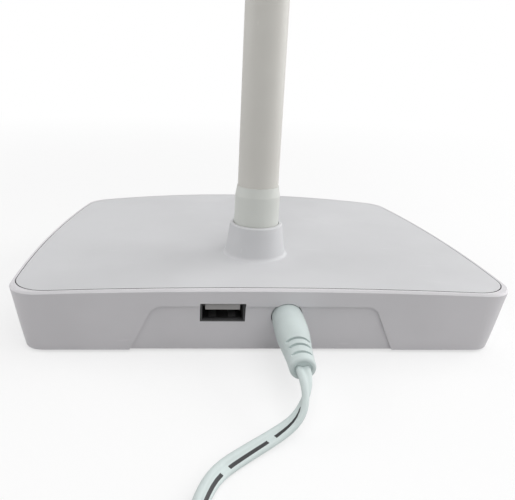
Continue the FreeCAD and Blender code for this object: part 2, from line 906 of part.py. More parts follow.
def standoffs():
    return [
        cylinder(
            f"standoff_{i}",
            "standoff_radius",
            "board_lift + base_floor*standoff_sunk_share",
            (x, y, f"{FLOOR_TOP} - base_floor*standoff_sunk_share"),
        )
        for i, (x, y) in enumerate(BOARD_HOLES)
    ]


def standoff_holes():
    radius = "board_screw_radius + screw_gap"
    return [
        cylinder(f"standoff_hole_{i}", radius, "board_lift + overrun", (x, y, FLOOR_TOP))
        for i, (x, y) in enumerate(BOARD_HOLES)
    ]


def bosses():
    """Bosses under the cover, which stand on the tray's posts."""
    made = []
    for i, (x, y) in enumerate(POSTS):
        height = f"{crown_z('base', 'base_height', x)} - cover_thick/2 - {POST_TOP}"
        made.append(cylinder(f"boss_{i}", "boss_radius", height, (x, y, POST_TOP)))
    return made


def boss_holes():
    radius = "screw_radius + screw_gap"
    return [
        cylinder(f"boss_hole_{i}", radius, "boss_depth + overrun", (x, y, f"{POST_TOP} - overrun"))
        for i, (x, y) in enumerate(POSTS)
    ]


def collar():
    """The flared collar on the cover, and the hub under it that the stem turns in."""
    bore = "(spigot_radius + spigot_gap)"
    wide = "(sleeve_radius + sleeve_gap)"
    middle = "(base_height - cover_thick/2)"
    flare = "(collar_foot_radius + collar_blend)"
    corners = [
        (bore, HUB_UNDER),
        ("hub_radius", HUB_UNDER),
        ("hub_radius", middle),
        (flare, middle),
        (flare, "(base_height - seam_gap/4)"),
        ("collar_foot_radius", "(base_height + collar_blend)"),
        ("collar_top_radius", f"({COLLAR_TOP} - collar_edge)"),
        ("(collar_top_radius - collar_edge)", COLLAR_TOP),
        (wide, COLLAR_TOP),
        (wide, f"({SLEEVE_FOOT} - thrust_washer)"),
        (bore, f"({SLEEVE_FOOT} - thrust_washer)"),
    ]
    return turned("collar", corners, arcs={4: ("collar_blend*collar_round_share", False)})


def weight_ribs():
    """Two ribs that hold the weight down."""
    under = f"({FLOOR_TOP} + weight_thick + rib_gap)"
    height = f"{crown_z('base', 'base_height', 'rib_x')} - cover_thick/2 - {under}"
    size = ("rib_thick", "rib_front - rib_rear", height)
    return [
        block(f"weight_rib_{i}", (f"{side}*rib_x - rib_thick/2", "-rib_front", under), size)
        for i, side in enumerate(BOTH_SIDES)
    ]


def stop_posts():
    """Two posts that the stop ring's tab meets after a quarter turn either way."""
    under = f"({RING_UNDER} - stop_gap)"
    size = (
        "stop_tab_radius - hub_radius + stop_post", "stop_post", f"base_height - cover_thick/2 - {under}"
    )
    near = "stop_tab_width/2 + stop_gap"
    return [
        block("stop_post_right", ("hub_radius - stop_post/2", near, under), size),
        block("stop_post_left", ("-stop_tab_radius - stop_post/2", near, under), size),
    ]


def weight(outline):
    """The steel plate under the stem's front, clear of the posts."""
    inset, wide = "base_wall + weight_gap", "cover_corner - weight_gap"
    slab = prism("weight_block", "base", outline, inset, "base_height", draft="base_draft", corner=wide)
    width, reach = "2*base_rear_width", "base_depth + base_front_bow"
    top = block(
        "weight_level",
        ("-base_rear_width", f"-({reach})", FLOOR_TOP),
        (width, f"{reach} - weight_rear", "weight_thick"),
    )
    holes = [
        cylinder(f"weight_clear_{i}", "post_radius + weight_post_gap", "base_height", (x, y, "0"))
        for i, (x, y) in enumerate(POSTS[2:])
    ]
    return cut("weight", common("weight_slab", slab, top), *holes)


# Sockets and electronics in the base


def build_board():
    low = ("board_left", "board_front", BOARD_UNDER)
    board = block("board", low, ("board_right - board_left", "board_rear - board_front", "board_thick"))
    under = f"{BOARD_UNDER} - board_thick"
    holes = [
        cylinder(f"board_hole_{i}", "board_screw_radius + screw_gap", "3*board_thick", (x, y, under))
        for i, (x, y) in enumerate(BOARD_HOLES)
    ]
    node("control_board", cut("board_drilled", board, *holes))
    screws = [
        screw(
            f"board_screw_{i}",
            (x, y, BOARD_TOP),
            "board_screw_radius",
            "board_lift + board_thick",
            "board_screw_head_radius",
            "board_screw_head",
            up=False,
        )
        for i, (x, y) in enumerate(BOARD_HOLES)
    ]
    node("board_screws", group("board_fixings", *screws))

    capacitor = cylinder(
        "capacitor", "capacitor_radius", "capacitor_height", ("capacitor_x", "capacitor_y", BOARD_TOP)
    )
    choke = cylinder("choke", "choke_radius", "choke_height", ("choke_x", "choke_y", BOARD_TOP))
    driver = block(
        "driver", ("driver_x", "driver_y", BOARD_TOP), ("driver_side", "driver_side", "driver_height")
    )
    socket = block(
        "cable_socket",
        ("-cable_socket_width/2", "cable_socket_y", BOARD_TOP),
        ("cable_socket_width", "cable_socket_depth", "cable_socket_height"),
    )
    node("board_components", group("components", capacitor, choke, driver, socket))


def build_usb():
    """The USB outlet: a folded shell with a flared mouth, its insulator and four contacts."""
    mouth = f"({wall_y('usb_z')} - panel_depth - usb_mouth_sunk)"
    back = f"({mouth} - usb_shell_length)"
    lip_start = f"({mouth} - usb_lip_length)"
    outer = ("usb_shell_width", "usb_shell_height")
    inner = tuple(f"{size} - 2*usb_shell_wall" for size in outer)
    centre = ("usb_x", back, "usb_z")

    def flare(name, size):
        wide = tuple(f"{side} + 2*usb_lip" for side in size)
        return funnel(name, ("usb_x", lip_start, "usb_z"), size, wide, "usb_lip_length")

    body = funnel("usb_sleeve", centre, outer, outer, "usb_shell_length")
    space = funnel("usb_space", centre, inner, inner, "usb_shell_length")
    shell = cut(
        "usb_tube",
        fuse("usb_flared", body, flare("usb_lip_outer", outer)),
        space,
        flare("usb_lip_inner", inner),
    )
    node("usb_shell", shell)

    inner_width, inner_height = inner
    root = funnel("usb_root", centre, inner, inner, "usb_block")
    tongue_top = f"(usb_z + ({inner_height})/2 - usb_tongue_top)"
    tongue_under = f"({tongue_top} - usb_tongue_thick)"
    tongue_length = "(usb_shell_length - usb_tongue_sunk)"
    tongue = block(
        "usb_tongue",
        ("usb_x - usb_tongue_width/2", back, tongue_under),
        ("usb_tongue_width", tongue_length, "usb_tongue_thick"),
    )
    shell_under = "(usb_z - usb_shell_height/2)"
    plate = block(
        "usb_back_plate",
        ("usb_x - usb_shell_width/2", f"{back} - usb_back", BOARD_TOP),
        ("usb_shell_width", "usb_back", f"usb_z + usb_shell_height/2 - {BOARD_TOP}"),
    )
    riser = block(
        "usb_riser",
        ("usb_x - usb_riser_width/2", f"{back} - usb_back", BOARD_TOP),
        ("usb_riser_width", "usb_riser_length", f"{shell_under} - {BOARD_TOP}"),
    )
    node("usb_insulator", fuse("usb_moulding", root, tongue, plate, riser))

    length = f"{tongue_length} - usb_block - usb_lip_length"
    strips = [
        block(
            f"usb_strip_{i}",
            (
                f"usb_x + {side}*usb_contact_{row} - usb_contact_width/2",
                f"{back} + usb_block",
                f"{tongue_under} - usb_contact_thick",
            ),
            ("usb_contact_width", length, "usb_contact_thick"),
        )
        for i, (side, row) in enumerate((side, row) for side in BOTH_SIDES for row in ("inner", "outer"))
    ]
    node("usb_contacts", group("usb_strips", *strips))


def funnel(name, near_centre, near, far, length):
    """A block along Y whose width and height change from its near end to its far end."""
    item = doc.addObject("Part::Wedge", name)
    item.Ymin = 0
    bind(
        item,
        Xmin=f"-({near[0]})/2",
        Xmax=f"({near[0]})/2",
        Zmin=f"-({near[1]})/2",
        Zmax=f"({near[1]})/2",
        Ymax=length,
        X2min=f"-({far[0]})/2",
        X2max=f"({far[0]})/2",
        Z2min=f"-({far[1]})/2",
        Z2max=f"({far[1]})/2",
    )
    return place(item, near_centre)


JACK_FACE = f"({wall_y('jack_z')} - jack_sunk)"


def build_jack():
    """The low-voltage socket: a square body on the board, a round snout in the wall and a pin."""
    front = f"({wall_y(BOARD_TOP)} - base_wall - jack_front)"
    body = block(
        "jack_block",
        ("jack_x - jack_width/2", f"{front} - jack_length", BOARD_TOP),
        ("jack_width", "jack_length", f"jack_z + jack_height/2 - {BOARD_TOP}"),
    )
    snout = cylinder(
        "jack_snout",
        "jack_snout_radius",
        f"{JACK_FACE} - {front} + jack_front",
        ("jack_x", f"{front} - jack_front", "jack_z"),
        "Y",
    )
    floor = f"({JACK_FACE} - jack_bore_depth)"
    bore = cylinder("jack_bore", "jack_bore", "jack_bore_depth + overrun", ("jack_x", floor, "jack_z"), "Y")
    back = block(
        "jack_back",
        ("jack_x - jack_width/2", f"{floor} - jack_back_wall", BOARD_TOP),
        ("jack_width", f"{front} - {floor} + jack_back_wall", f"jack_z + jack_height/2 - {BOARD_TOP}"),
    )
    node("dc_jack", cut("jack", fuse("jack_solid", body, back, snout), bore))
    tip = ("jack_x", floor, "jack_z")
    length = "(jack_bore_depth - jack_pin_short)"
    corners = [
        ("0", "0"),
        ("jack_pin_radius", "0"),
        ("jack_pin_radius", f"{length} - jack_pin_radius/2"),
        ("jack_pin_radius/2", length),
        ("0", length),
    ]
    node("dc_jack_pin", turned("jack_pin", corners, tip, ALONG["Y"]))


def build_base_harness():
    """The lamp's own wires from the board up into the stem."""
    height = f"({BOARD_TOP} + cable_rise)"
    turn_y = "(spigot_radius - cable_radius)"
    route = [
        ("0", "cable_socket_y", height),
        ("0", turn_y, height),
        ("0", "0", f"({SPIGOT_FOOT} - cable_gap)"),
        ("0", "0", WIRE_JOINT),
    ]
    node("base_harness", cable("board_wires", [point(at) for at in route]))


WIRE_JOINT = HUB_UNDER


def cable(name, points):
    radius = value("cable_radius")
    edges, _ = corner_arcs(points)
    way = (points[1] - points[0]).normalize()
    ring = Part.Wire(Part.Circle(points[0], way, radius).toShape())
    return swept(name, edges, ring)


# Stem


def build_stem():
    bore = "(spigot_radius + spigot_gap)"
    washer = [
        (bore, "0"),
        ("sleeve_radius", "0"),
        ("sleeve_radius", "thrust_washer"),
        (bore, "thrust_washer"),
    ]
    node("thrust_washer", turned("slip_ring", washer, ("0", "0", f"{SLEEVE_FOOT} - thrust_washer")))
    top = f"({COLLAR_TOP} + sleeve_rise)"
    lip = f"({top} + sleeve_taper)"
    socket = "(stem_radius + stem_fit)"
    sleeve = [
        ("wire_way_radius", SPIGOT_FOOT),
        ("spigot_radius", SPIGOT_FOOT),
        ("spigot_radius", SLEEVE_FOOT),
        ("sleeve_radius", SLEEVE_FOOT),
        ("sleeve_radius", COLLAR_TOP),
        ("sleeve_upper_radius", top),
        ("sleeve_lip_radius", lip),
        (socket, lip),
        (socket, TUBE_FOOT),
        ("wire_way_radius", TUBE_FOOT),
    ]
    node("stem_sleeve", turned("swivel_sleeve", sleeve))
    inner = "(spigot_radius + stem_fit)"
    ring = cut(
        "stop_ring_open",
        fuse(
            "stop_ring_solid",
            cylinder("stop_disc", "stop_ring_radius", "stop_ring", ("0", "0", RING_UNDER)),
            block(
                "stop_tab",
                ("-stop_tab_width/2", "-stop_tab_radius", RING_UNDER),
                ("stop_tab_width", "stop_tab_radius", "stop_ring"),
            ),
        ),
        cylinder("stop_ring_bore", inner, "2*base_height", ("0", "0", "0")),
    )
    node("stop_ring", ring)
    wave = cut(
        "wave_open",
        cylinder("wave_disc", "wave_washer_radius", "wave_washer", ("0", "0", WAVE_UNDER)),
        cylinder("wave_bore", inner, "2*base_height", ("0", "0", "0")),
    )
    node("wave_washer", wave)
    nut = cut(
        "nut_open",
        hexagon("nut_block", "swivel_nut_flats", "swivel_nut", ("0", "0", NUT_UNDER)),
        cylinder("nut_bore", inner, "2*base_height", ("0", "0", "0")),
    )
    node("swivel_nut", nut)
    tube = [
        ("(stem_radius - stem_wall)", TUBE_FOOT),
        ("stem_radius", TUBE_FOOT),
        ("stem_radius", TUBE_TOP),
        ("(stem_radius - stem_wall)", TUBE_TOP),
    ]
    node("stem_tube", turned("tube", tube))
    node("stem_yoke", yoke())
    route = [
        point(("0", "0", f"{WIRE_JOINT} + cable_gap")),
        point(("0", "0", "hinge_height - yoke_slot_drop - cable_gap")),
    ]
    node("stem_harness", cable("stem_wires", route))


def yoke():
    """The fork on top of the tube that carries the head's hinge."""
    plug = "(stem_radius - stem_wall - stem_fit)"
    step = f"({TUBE_TOP} + yoke_step)"
    flare = f"({step} + yoke_flare)"
    corners = [
        ("(cable_radius + cable_gap)", f"({TUBE_TOP} - yoke_plug)"),
        (plug, f"({TUBE_TOP} - yoke_plug)"),
        (plug, TUBE_TOP),
        ("stem_radius", TUBE_TOP),
        ("stem_radius", step),
        ("yoke_radius", flare),
        ("yoke_radius", "(hinge_height + yoke_radius)"),
        ("(cable_radius + cable_gap)", "(hinge_height + yoke_radius)"),
    ]
    rod = turned("yoke_rod", corners, arcs={4: ("2*yoke_flare", False)})
    top_radius = "sqrt(yoke_radius^2 - yoke_slot^2/4)"
    low = f"({TUBE_TOP} - yoke_plug)"
    below = centred_block(
        "yoke_below", ("0", "0", f"(hinge_height + {low})/2"), (
            "2*yoke_half_width", "2*yoke_radius", f"hinge_height - {low}"
        )
    )
    rounded_top = cylinder(
        "yoke_round", top_radius, "2*yoke_half_width", ("-yoke_half_width", "0", "hinge_height"), "X"
    )
    fork = common("yoke_sided", rod, fuse("yoke_side_view", below, rounded_top))
    slot_low = "(hinge_height - yoke_slot_drop)"
    slot = block(
        "yoke_slot", ("-yoke_slot/2", "-yoke_radius", slot_low), (
            "yoke_slot", "2*yoke_radius", "yoke_slot_drop + yoke_radius + overrun"
        )
    )
    pin = cylinder(
        "yoke_bore",
        "hinge_pin_radius + hinge_fit",
        "2*yoke_half_width",
        ("-yoke_half_width", "0", "hinge_height"),
        "X",
    )
    depth = "(hinge_head + hinge_recess_gap)"
    head_recess = cylinder(
        "yoke_head_recess", "hinge_head_radius + hinge_recess_gap", f"{depth} + overrun", (
            f"yoke_half_width - {depth}", "0", "hinge_height"
        ), "X"
    )
    nut_recess = hexagon(
        "yoke_nut_recess", "hinge_nut_flats + 2*hinge_recess_gap", f"{depth} + overrun", (
            "-yoke_half_width - overrun", "0", "hinge_height"
        ), "X"
    )
    return cut("fork", fork, slot, pin, head_recess, nut_recess)


def build_hinge():
    """The pin, nut, washers and caps of the head's hinge, in the yoke's two ears."""
    inner_face = "(yoke_half_width - hinge_head - hinge_recess_gap)"
    height = ("0", "0", "hinge_height")
    pin = [
        ("0", f"(-{inner_face} - hinge_head)"),
        ("hinge_thread_radius", f"(-{inner_face} - hinge_head)"),
        ("hinge_thread_radius", f"(-{inner_face})"),
        ("hinge_pin_radius", f"(-{inner_face})"),
        ("hinge_pin_radius", inner_face),
        ("hinge_head_radius", inner_face),
        ("hinge_head_radius", f"({inner_face} + hinge_head)"),
        ("0", f"({inner_face} + hinge_head)"),
    ]
    node("hinge_pin", turned("pivot_pin", pin, height, ALONG["X"]))
    nut = cut(
        "hinge_nut_open",
        hexagon(
            "hinge_nut_block",
            "hinge_nut_flats",
            "hinge_head",
            (f"-{inner_face} - hinge_head", "0", "hinge_height"),
            "X",
        ),
        cylinder(
            "hinge_nut_bore",
            "hinge_thread_radius + hinge_fit",
            "2*yoke_half_width",
            ("-2*yoke_half_width", "0", "hinge_height"),
            "X",
        ),
    )
    node("hinge_nut", nut)
    slack = "((yoke_slot - knuckle_width - 2*knuckle_washer)/4)"
    washers, caps = [], []
    for i, side in enumerate(BOTH_SIDES):
        low = f"{side}*(knuckle_width/2 + {slack} + knuckle_washer/2) - knuckle_washer/2"
        disc = cylinder(
            f"hinge_disc_{i}", "knuckle_washer_radius", "knuckle_washer", (low, "0", "hinge_height"), "X"
        )
        hole = cylinder(
            f"hinge_disc_bore_{i}",
            "hinge_pin_radius + hinge_fit",
            "2*yoke_slot",
            ("-yoke_slot", "0", "hinge_height"),
            "X",
        )
        washers.append(cut(f"hinge_washer_{i}", disc, hole))
        cap = [
            ("0", "0"),
            ("hinge_cap_radius", "0"),
            ("hinge_cap_radius", "(hinge_cap - hinge_cap_round)"),
            ("(hinge_cap_radius - hinge_cap_round)", "hinge_cap"),
            ("0", "hinge_cap"),
        ]
        turn = Rotation(Vector(0, 1, 0), 90 * side)
        caps.append(
            turned(
                f"hinge_cap_{i}",
                cap,
                (f"{side}*yoke_half_width", "0", "hinge_height"),
                turn,
                {2: ("hinge_cap_round", True)},
            ),
        )
    node("hinge_washers", group("hinge_discs", *washers))
    node("hinge_caps", group("hinge_covers", *caps))


# Head


def build_head():
    outline = keystone_outline("head", HEAD_TOP)
    shell = prism("shell_block", "head", outline, "0", "head_height - head_seam")
    shell = common("shell_crowned", shell, crown("shell_top", "head", HEAD_TOP, "0"))
    lowest = value(f"{HEAD_TOP} - head_crown - head_edge")
    shell = rounded("shell_rounded", shell, "head_edge", lambda edge: edge.BoundBox.ZMin > lowest)
    space = prism("shell_space", "head", outline, "head_wall", "head_height + overrun")
    space = common("shell_hollow", space, crown("shell_under", "head", HEAD_TOP, "head_wall"))
    groove = prism("groove_outer", "head", outline, "-head_edge", "head_height - head_seam + overrun")
    groove = cut(
        "groove_ring", groove, prism("groove_inner", "head", outline, "bezel_edge", "2*head_height")
    )
    groove = common(
        "groove",
        groove,
        level("groove_level", "head", f"{HEAD_SEAM} - overrun", f"{HEAD_SEAM} + bezel_groove"),
    )
    shell = fuse(
        "shell_fitted",
        cut("shell_open", shell, space, groove),
        *head_bosses(),
        *head_ribs(),
        *rocker_ears(),
    )
    node("head_shell", cut("shell", shell, *head_boss_holes(), *led_boss_holes(), *control_holes()))

    bezel = prism("bezel_block", "head", outline, "0", "head_height")
    bezel = common("bezel_solid", bezel, level("bezel_level", "head", HEAD_UNDER, HEAD_SEAM))
    highest = value(f"{HEAD_UNDER} + bezel_edge/2")
    bezel = rounded("bezel_rounded", bezel, "bezel_edge", lambda edge: edge.BoundBox.ZMax < highest)
    space = prism("bezel_space", "head", outline, "head_wall", f"{HEAD_TOP} - {BEZEL_TOP}")
    bezel = fuse("bezel_fitted", cut("bezel_open", bezel, space), *bezel_posts(), *switch_standoffs())
    node(
        "head_bezel",
        cut("bezel", bezel, window("0", HEAD_UNDER, "bezel_floor"), lug_slot(), *bezel_holes()),
    )

    lens = window(
        "diffuser_gap", f"{HEAD_UNDER} + diffuser_recess", "bezel_floor - diffuser_recess", "lens"
    )
    flange = window("-diffuser_lip", BEZEL_TOP, "diffuser_thick", "lens_flange")
    node("diffuser", fuse("lens_plate", lens, flange))
    screws = [
        screw(
            f"head_screw_{i}",
            (x, y, f"{HEAD_UNDER} + head_screw_seat"),
            "head_screw_radius",
            "head_screw_length",
            "head_screw_head_radius",
            "head_screw_head",
        )
        for i, (x, y) in enumerate(HEAD_BOSSES)
    ]
    node("head_screws", group("head_fixings", *screws))
    build_knuckle()
    build_light()
    build_switches()


def window(inset, low, thick, name="window_space"):
    """A block as large as the lamp's window, set in all round."""
    length = f"window_end - window_start - 2*({inset})"
    width = f"window_width - 2*({inset})"
    if name == "window_space":
        low, thick = f"{low} - overrun", f"{thick} + 2*overrun"
    return block(name, (f"-({width})/2", f"-window_end + ({inset})", low), (width, length, thick))


def head_bosses():
    made = []
    for i, (x, y) in enumerate(HEAD_BOSSES):
        height = f"{crown_z('head', HEAD_TOP, x)} - head_wall/2 - {HEAD_SEAM}"
        made.append(cylinder(f"head_boss_{i}", "head_boss_radius", height, (x, y, HEAD_SEAM)))
    for i, y in enumerate(LED_SCREWS):
        low = f"({LED_BOARD_UNDER} + led_board_thick)"
        height = f"{HEAD_TOP} - head_wall/2 - {low}"
        made.append(cylinder(f"led_boss_{i}", "head_boss_radius", height, ("0", y, low)))
    return made


def head_boss_holes():
    radius = "head_screw_radius + screw_gap"
    depth = "head_screw_length + head_screw_seat"
    return [
        cylinder(f"head_boss_hole_{i}", radius, depth, (x, y, HEAD_UNDER))
        for i, (x, y) in enumerate(HEAD_BOSSES)
    ]


def led_boss_holes():
    radius = "head_screw_radius + screw_gap"
    return [
        cylinder(
            f"led_boss_hole_{i}", radius, "led_board_thick + led_screw_length", ("0", y, LED_BOARD_UNDER)
        )
        for i, y in enumerate(LED_SCREWS)
    ]


def head_ribs():
    """Cross ribs over the light board."""
    low = f"({LED_BOARD_UNDER} + led_board_thick + head_rib_gap)"
    half = "(head_rear_width/2 - head_wall/2)"
    height = f"{crown_z('head', HEAD_TOP, half)} - head_wall/2 - {low}"
    step = "((window_end - window_start)/4)"
    return [
        block(
            f"head_rib_{i}",
            (f"-{half}", f"-window_start - {i + 0.5}*{step} - head_rib/2", low),
            (f"2*{half}", "head_rib", height),
        )
        for i in range(4)
    ]


def rocker_ears():
    """Two ears under the shell's top with a bore each for the rocker's pivots."""
    made = []
    for i, side in enumerate(BOTH_SIDES):
        centre = f"{side}*(rocker_width/2 + rocker_gap + rocker_ear/2)"
        low = f"({ROCKER_AXIS} - rocker_ear_width/2)"
        size = ("rocker_ear", "rocker_ear_width", f"{HEAD_TOP} - head_wall/2 - {low}")
        ear = block(
            f"rocker_ear_{i}", (f"{centre} - rocker_ear/2", "-rocker_y - rocker_ear_width/2", low), size
        )
        bore = cylinder(
            f"rocker_ear_bore_{i}",
            "rocker_pivot_radius + hinge_fit",
            "rocker_ear + 2*rocker_gap",
            (f"{centre} - rocker_ear/2 - rocker_gap", "-rocker_y", ROCKER_AXIS),
            "X",
        )
        made.append(cut(f"rocker_ear_bored_{i}", ear, bore))
    return made


def control_holes():
    """The holes in the shell's top for the button and the rocker."""
    low = f"{HEAD_TOP} - head_wall - head_crown"
    high = "head_wall + 2*head_crown"
    button = cylinder("button_hole", "button_radius + button_gap", high, ("0", "-button_y", low))
    size = ("rocker_width + 2*rocker_gap", "rocker_length + 2*rocker_gap", high)
    at = ("-rocker_width/2 - rocker_gap", "-rocker_y - rocker_length/2 - rocker_gap", low)
    return [button, block("rocker_hole", at, size)]


def bezel_posts():
    return [
        cylinder(f"bezel_post_{i}", "head_boss_radius + head_wall/2", "head_seam", (x, y, HEAD_UNDER))
        for i, (x, y) in enumerate(HEAD_BOSSES)
    ]


def switch_standoffs():
    height = "switch_board_lift - bezel_floor/2"
    return [
        cylinder(
            f"switch_standoff_{i}",
            "switch_standoff_radius",
            height,
            (x, y, f"{HEAD_UNDER} + bezel_floor/2"),
        )
        for i, (x, y) in enumerate(SWITCH_HOLES)
    ]


def bezel_holes():
    radius = "head_screw_radius + screw_gap"
    pocket = "head_screw_head_radius + head_pocket_gap/2"
    tools = []
    for i, (x, y) in enumerate(HEAD_BOSSES):
        tools.append(
            cylinder(
                f"bezel_pocket_{i}", pocket, "head_screw_seat + overrun", (x, y, f"{HEAD_UNDER} - overrun")
            ),
        )
        tools.append(cylinder(f"bezel_hole_{i}", radius, "2*head_seam", (x, y, HEAD_UNDER)))
    for i, (x, y) in enumerate(SWITCH_HOLES):
        tools.append(cylinder(f"switch_standoff_hole_{i}", radius, "switch_board_lift", (x, y, BEZEL_TOP)))
    for i, (x, y) in enumerate(KNUCKLE_SCREWS):
        low = f"{BEZEL_TOP} - knuckle_screw_depth"
        tools.append(
            cylinder(
                f"knuckle_floor_hole_{i}", "knuckle_screw_radius + screw_gap", "head_height", (x, y, low)
            ),
        )
    return tools


def lug_slot():
    width, length = "knuckle_width + 2*knuckle_slot_gap", "2*knuckle_radius + 2*knuckle_slot_gap"
    return centred_block("lug_slot", ("0", "0", HEAD_UNDER), (width, length, "4*bezel_floor"))


def build_knuckle():
    """The die-cast lug that hangs in the yoke, on a plate inside the head."""
    lug = cylinder(
        "lug_round", "knuckle_radius", "knuckle_width", ("-knuckle_width/2", "0", "hinge_height"), "X"
    )
    neck = block(
        "lug_neck", ("-knuckle_width/2", "-knuckle_radius", "hinge_height"), (
            "knuckle_width", "2*knuckle_radius", f"{BEZEL_TOP} - hinge_height"
        )
    )
    plate = block(
        "knuckle_plate", ("-knuckle_plate_side/2", "-knuckle_plate_side/2", BEZEL_TOP), (
            "knuckle_plate_side", "knuckle_plate_side", "knuckle_plate"
        )
    )
    bore = cylinder(
        "lug_bore",
        "hinge_pin_radius + hinge_fit",
        "2*knuckle_width",
        ("-knuckle_width", "0", "hinge_height"),
        "X",
    )
    holes = [
        cylinder(f"plate_hole_{i}", "knuckle_screw_radius + screw_gap", "2*head_height", (x, y, HEAD_UNDER))
        for i, (x, y) in enumerate(KNUCKLE_SCREWS)
    ]
    node("head_knuckle", cut("knuckle", fuse("knuckle_solid", lug, neck, plate), bore, *holes))
    screws = [
        screw(
            f"knuckle_screw_{i}",
            (x, y, f"{BEZEL_TOP} + knuckle_plate"),
            "knuckle_screw_radius",
            "knuckle_plate + knuckle_screw_depth",
            "knuckle_screw_head_radius",
            "knuckle_screw_head",
            up=False,
        )
        for i, (x, y) in enumerate(KNUCKLE_SCREWS)
    ]
    node("knuckle_screws", group("knuckle_fixings", *screws))


def build_light():
    """The light board under the shell, with two rows of lamps that face down."""
    board = block(
        "light_board", ("-led_board_width/2", "-window_end", LED_BOARD_UNDER), (
            "led_board_width", "window_end - window_start", "led_board_thick"
        )
    )
    radius = "head_screw_radius + screw_gap"
    holes = [
        cylinder(f"light_board_hole_{i}", radius, "head_height", ("0", y, HEAD_UNDER)) for i, y in enumerate(
            LED_SCREWS
        )
    ]
    node("led_board", cut("light_board_drilled", board, *holes))
    middle = "(-(window_start + window_end)/2)"
    lamps = []
    for row, side in enumerate(BOTH_SIDES):
        for i in range(LEDS_PER_ROW):
            step = i - (LEDS_PER_ROW - 1) / 2
            centre = (f"{side}*led_row", f"{middle} + {step}*led_pitch", f"{LED_BOARD_UNDER} - led_thick/2")
            lamps.append(centred_block(f"led_{row}_{i}", centre, ("led_width", "led_length", "led_thick")))
    node("leds", group("led_rows", *lamps))
    screws = [
        screw(
            f"led_screw_{i}",
            ("0", y, LED_BOARD_UNDER),
            "head_screw_radius",
            "led_board_thick + led_screw_length - screw_gap",
            "head_screw_head_radius",
            "head_screw_head",
        )
        for i, y in enumerate(LED_SCREWS)
    ]
    node("led_screws", group("led_fixings", *screws))


def build_switches():
    """The switch board with three push switches, the button and the rocker."""
    board = block(
        "key_board",
        ("-switch_board_width/2", "-switch_board_end", SWITCH_BOARD_UNDER),
        ("switch_board_width", "switch_board_end - switch_board_start", "switch_board_thick"),
    )
    radius = "head_screw_radius + screw_gap"
    holes = [
        cylinder(f"key_board_hole_{i}", radius, "head_height", (x, y, HEAD_UNDER)) for i, (x, y) in enumerate(
            SWITCH_HOLES
        )
    ]
    node("switch_board", cut("key_board_drilled", board, *holes))
    screws = [
        screw(
            f"switch_screw_{i}",
            (x, y, SWITCH_BOARD_TOP),
            "head_screw_radius",
            "switch_board_thick + switch_board_lift - bezel_floor",
            "head_screw_head_radius",
            "head_screw_head",
            up=False,
        )
        for i, (x, y) in enumerate(SWITCH_HOLES)
    ]
    node("switch_screws", group("switch_fixings", *screws))
    switches = []
    for i, y in enumerate(TACT_SWITCHES):
        body = block(
            f"tact_body_{i}",
            ("-tact_side/2", f"{y} - tact_side/2", SWITCH_BOARD_TOP),
            ("tact_side", "tact_side", "tact_height"),
        )
        tip = cylinder(
            f"tact_tip_{i}", "tact_tip_radius", "tact_height + tact_tip", ("0", y, SWITCH_BOARD_TOP)
        )
        switches.append(fuse(f"tact_{i}", body, tip))
    node("tact_switches", group("tacts", *switches))

    under = "(-head_wall - button_flange_gap)"
    wide = "(button_radius + button_flange)"
    foot = f"({TACT_TIP} + button_travel + rocker_slack - {HEAD_TOP})"
    button = [
        ("0", "(button_proud - button_edge/2)"),
        ("0", foot),
        ("button_stalk_radius", foot),
        ("button_stalk_radius", f"({under} - button_flange_thick)"),
        (wide, f"({under} - button_flange_thick)"),
        (wide, under),
        ("button_radius", under),
        ("button_radius", "(button_proud - button_edge)"),
        ("(button_radius - button_edge)", "button_proud"),
    ]
    arcs = {
        7: ("button_edge", True), 8: ("(button_radius - button_edge)^2/button_edge + button_edge/4", False)
    }
    node("power_button", turned("push_button", button, ("0", "-button_y", HEAD_TOP), arcs=arcs))
    node("dim_rocker", rocker())
    reach = "(switch_board_hole_inset*2)"
    side = "(-switch_board_width/2 + 3*switch_board_hole_inset)"
    low = f"({SWITCH_BOARD_TOP} + cable_radius + cable_gap)"
    high = f"({LED_BOARD_UNDER} + led_board_thick + cable_radius + cable_gap)"
    route = [
        (side, f"(-switch_board_end + {reach})", low),
        (side, "(-switch_board_end)", low),
        (side, "(-window_start + cable_radius)", high),
        (side, f"(-window_start - cable_radius - {reach})", high),
    ]
    node("head_harness", cable("head_wires", [point(at) for at in route]))


def rocker():
    """The dimmer's rocker: a dished cap on two pivots, with a foot over each of its switches."""
    top = f"({HEAD_TOP} + rocker_proud - {ROCKER_AXIS})"
    under = f"({top} - rocker_thick)"
    corners = [
        ("-rocker_length/2", under),
        ("rocker_length/2", under),
        ("rocker_length/2", top),
        ("-rocker_length/2", top),
    ]
    dish = ("rocker_length^2/(8*rocker_dish) + rocker_dish/2", False)
    at = ("0", "-rocker_y", ROCKER_AXIS)
    cap = padded("rocker_cap", "YZ_Plane", corners, "rocker_width", at, {2: dish})
    swing = "rocker_foot_y*sin(rocker_swing*1deg)"
    foot_low = f"({TACT_TIP} + {swing} + rocker_slack)"
    parts = [cap]
    for i, side in enumerate(BOTH_SIDES):
        low = ("-rocker_foot", f"-rocker_y + {side}*rocker_foot_y - rocker_foot/2", foot_low)
        height = f"{ROCKER_AXIS} + {under} - {foot_low} + rocker_dish"
        parts.append(block(f"rocker_foot_{i}", low, ("2*rocker_foot", "rocker_foot", height)))
    boss = block(
        "rocker_boss",
        ("-rocker_width/2", "-rocker_y - 2*rocker_pivot_radius", f"{ROCKER_AXIS} - 2*rocker_pivot_radius"),
        ("rocker_width", "4*rocker_pivot_radius", f"2*rocker_pivot_radius + {under} + rocker_dish"),
    )
    length = "rocker_width + 2*rocker_pivot_length"
    pivot = cylinder(
        "rocker_pivot", "rocker_pivot_radius", length, (f"-({length})/2", "-rocker_y", ROCKER_AXIS), "X"
    )
    return fuse("rocker", *parts, boss, pivot)


# Lead, plug and mains adapter


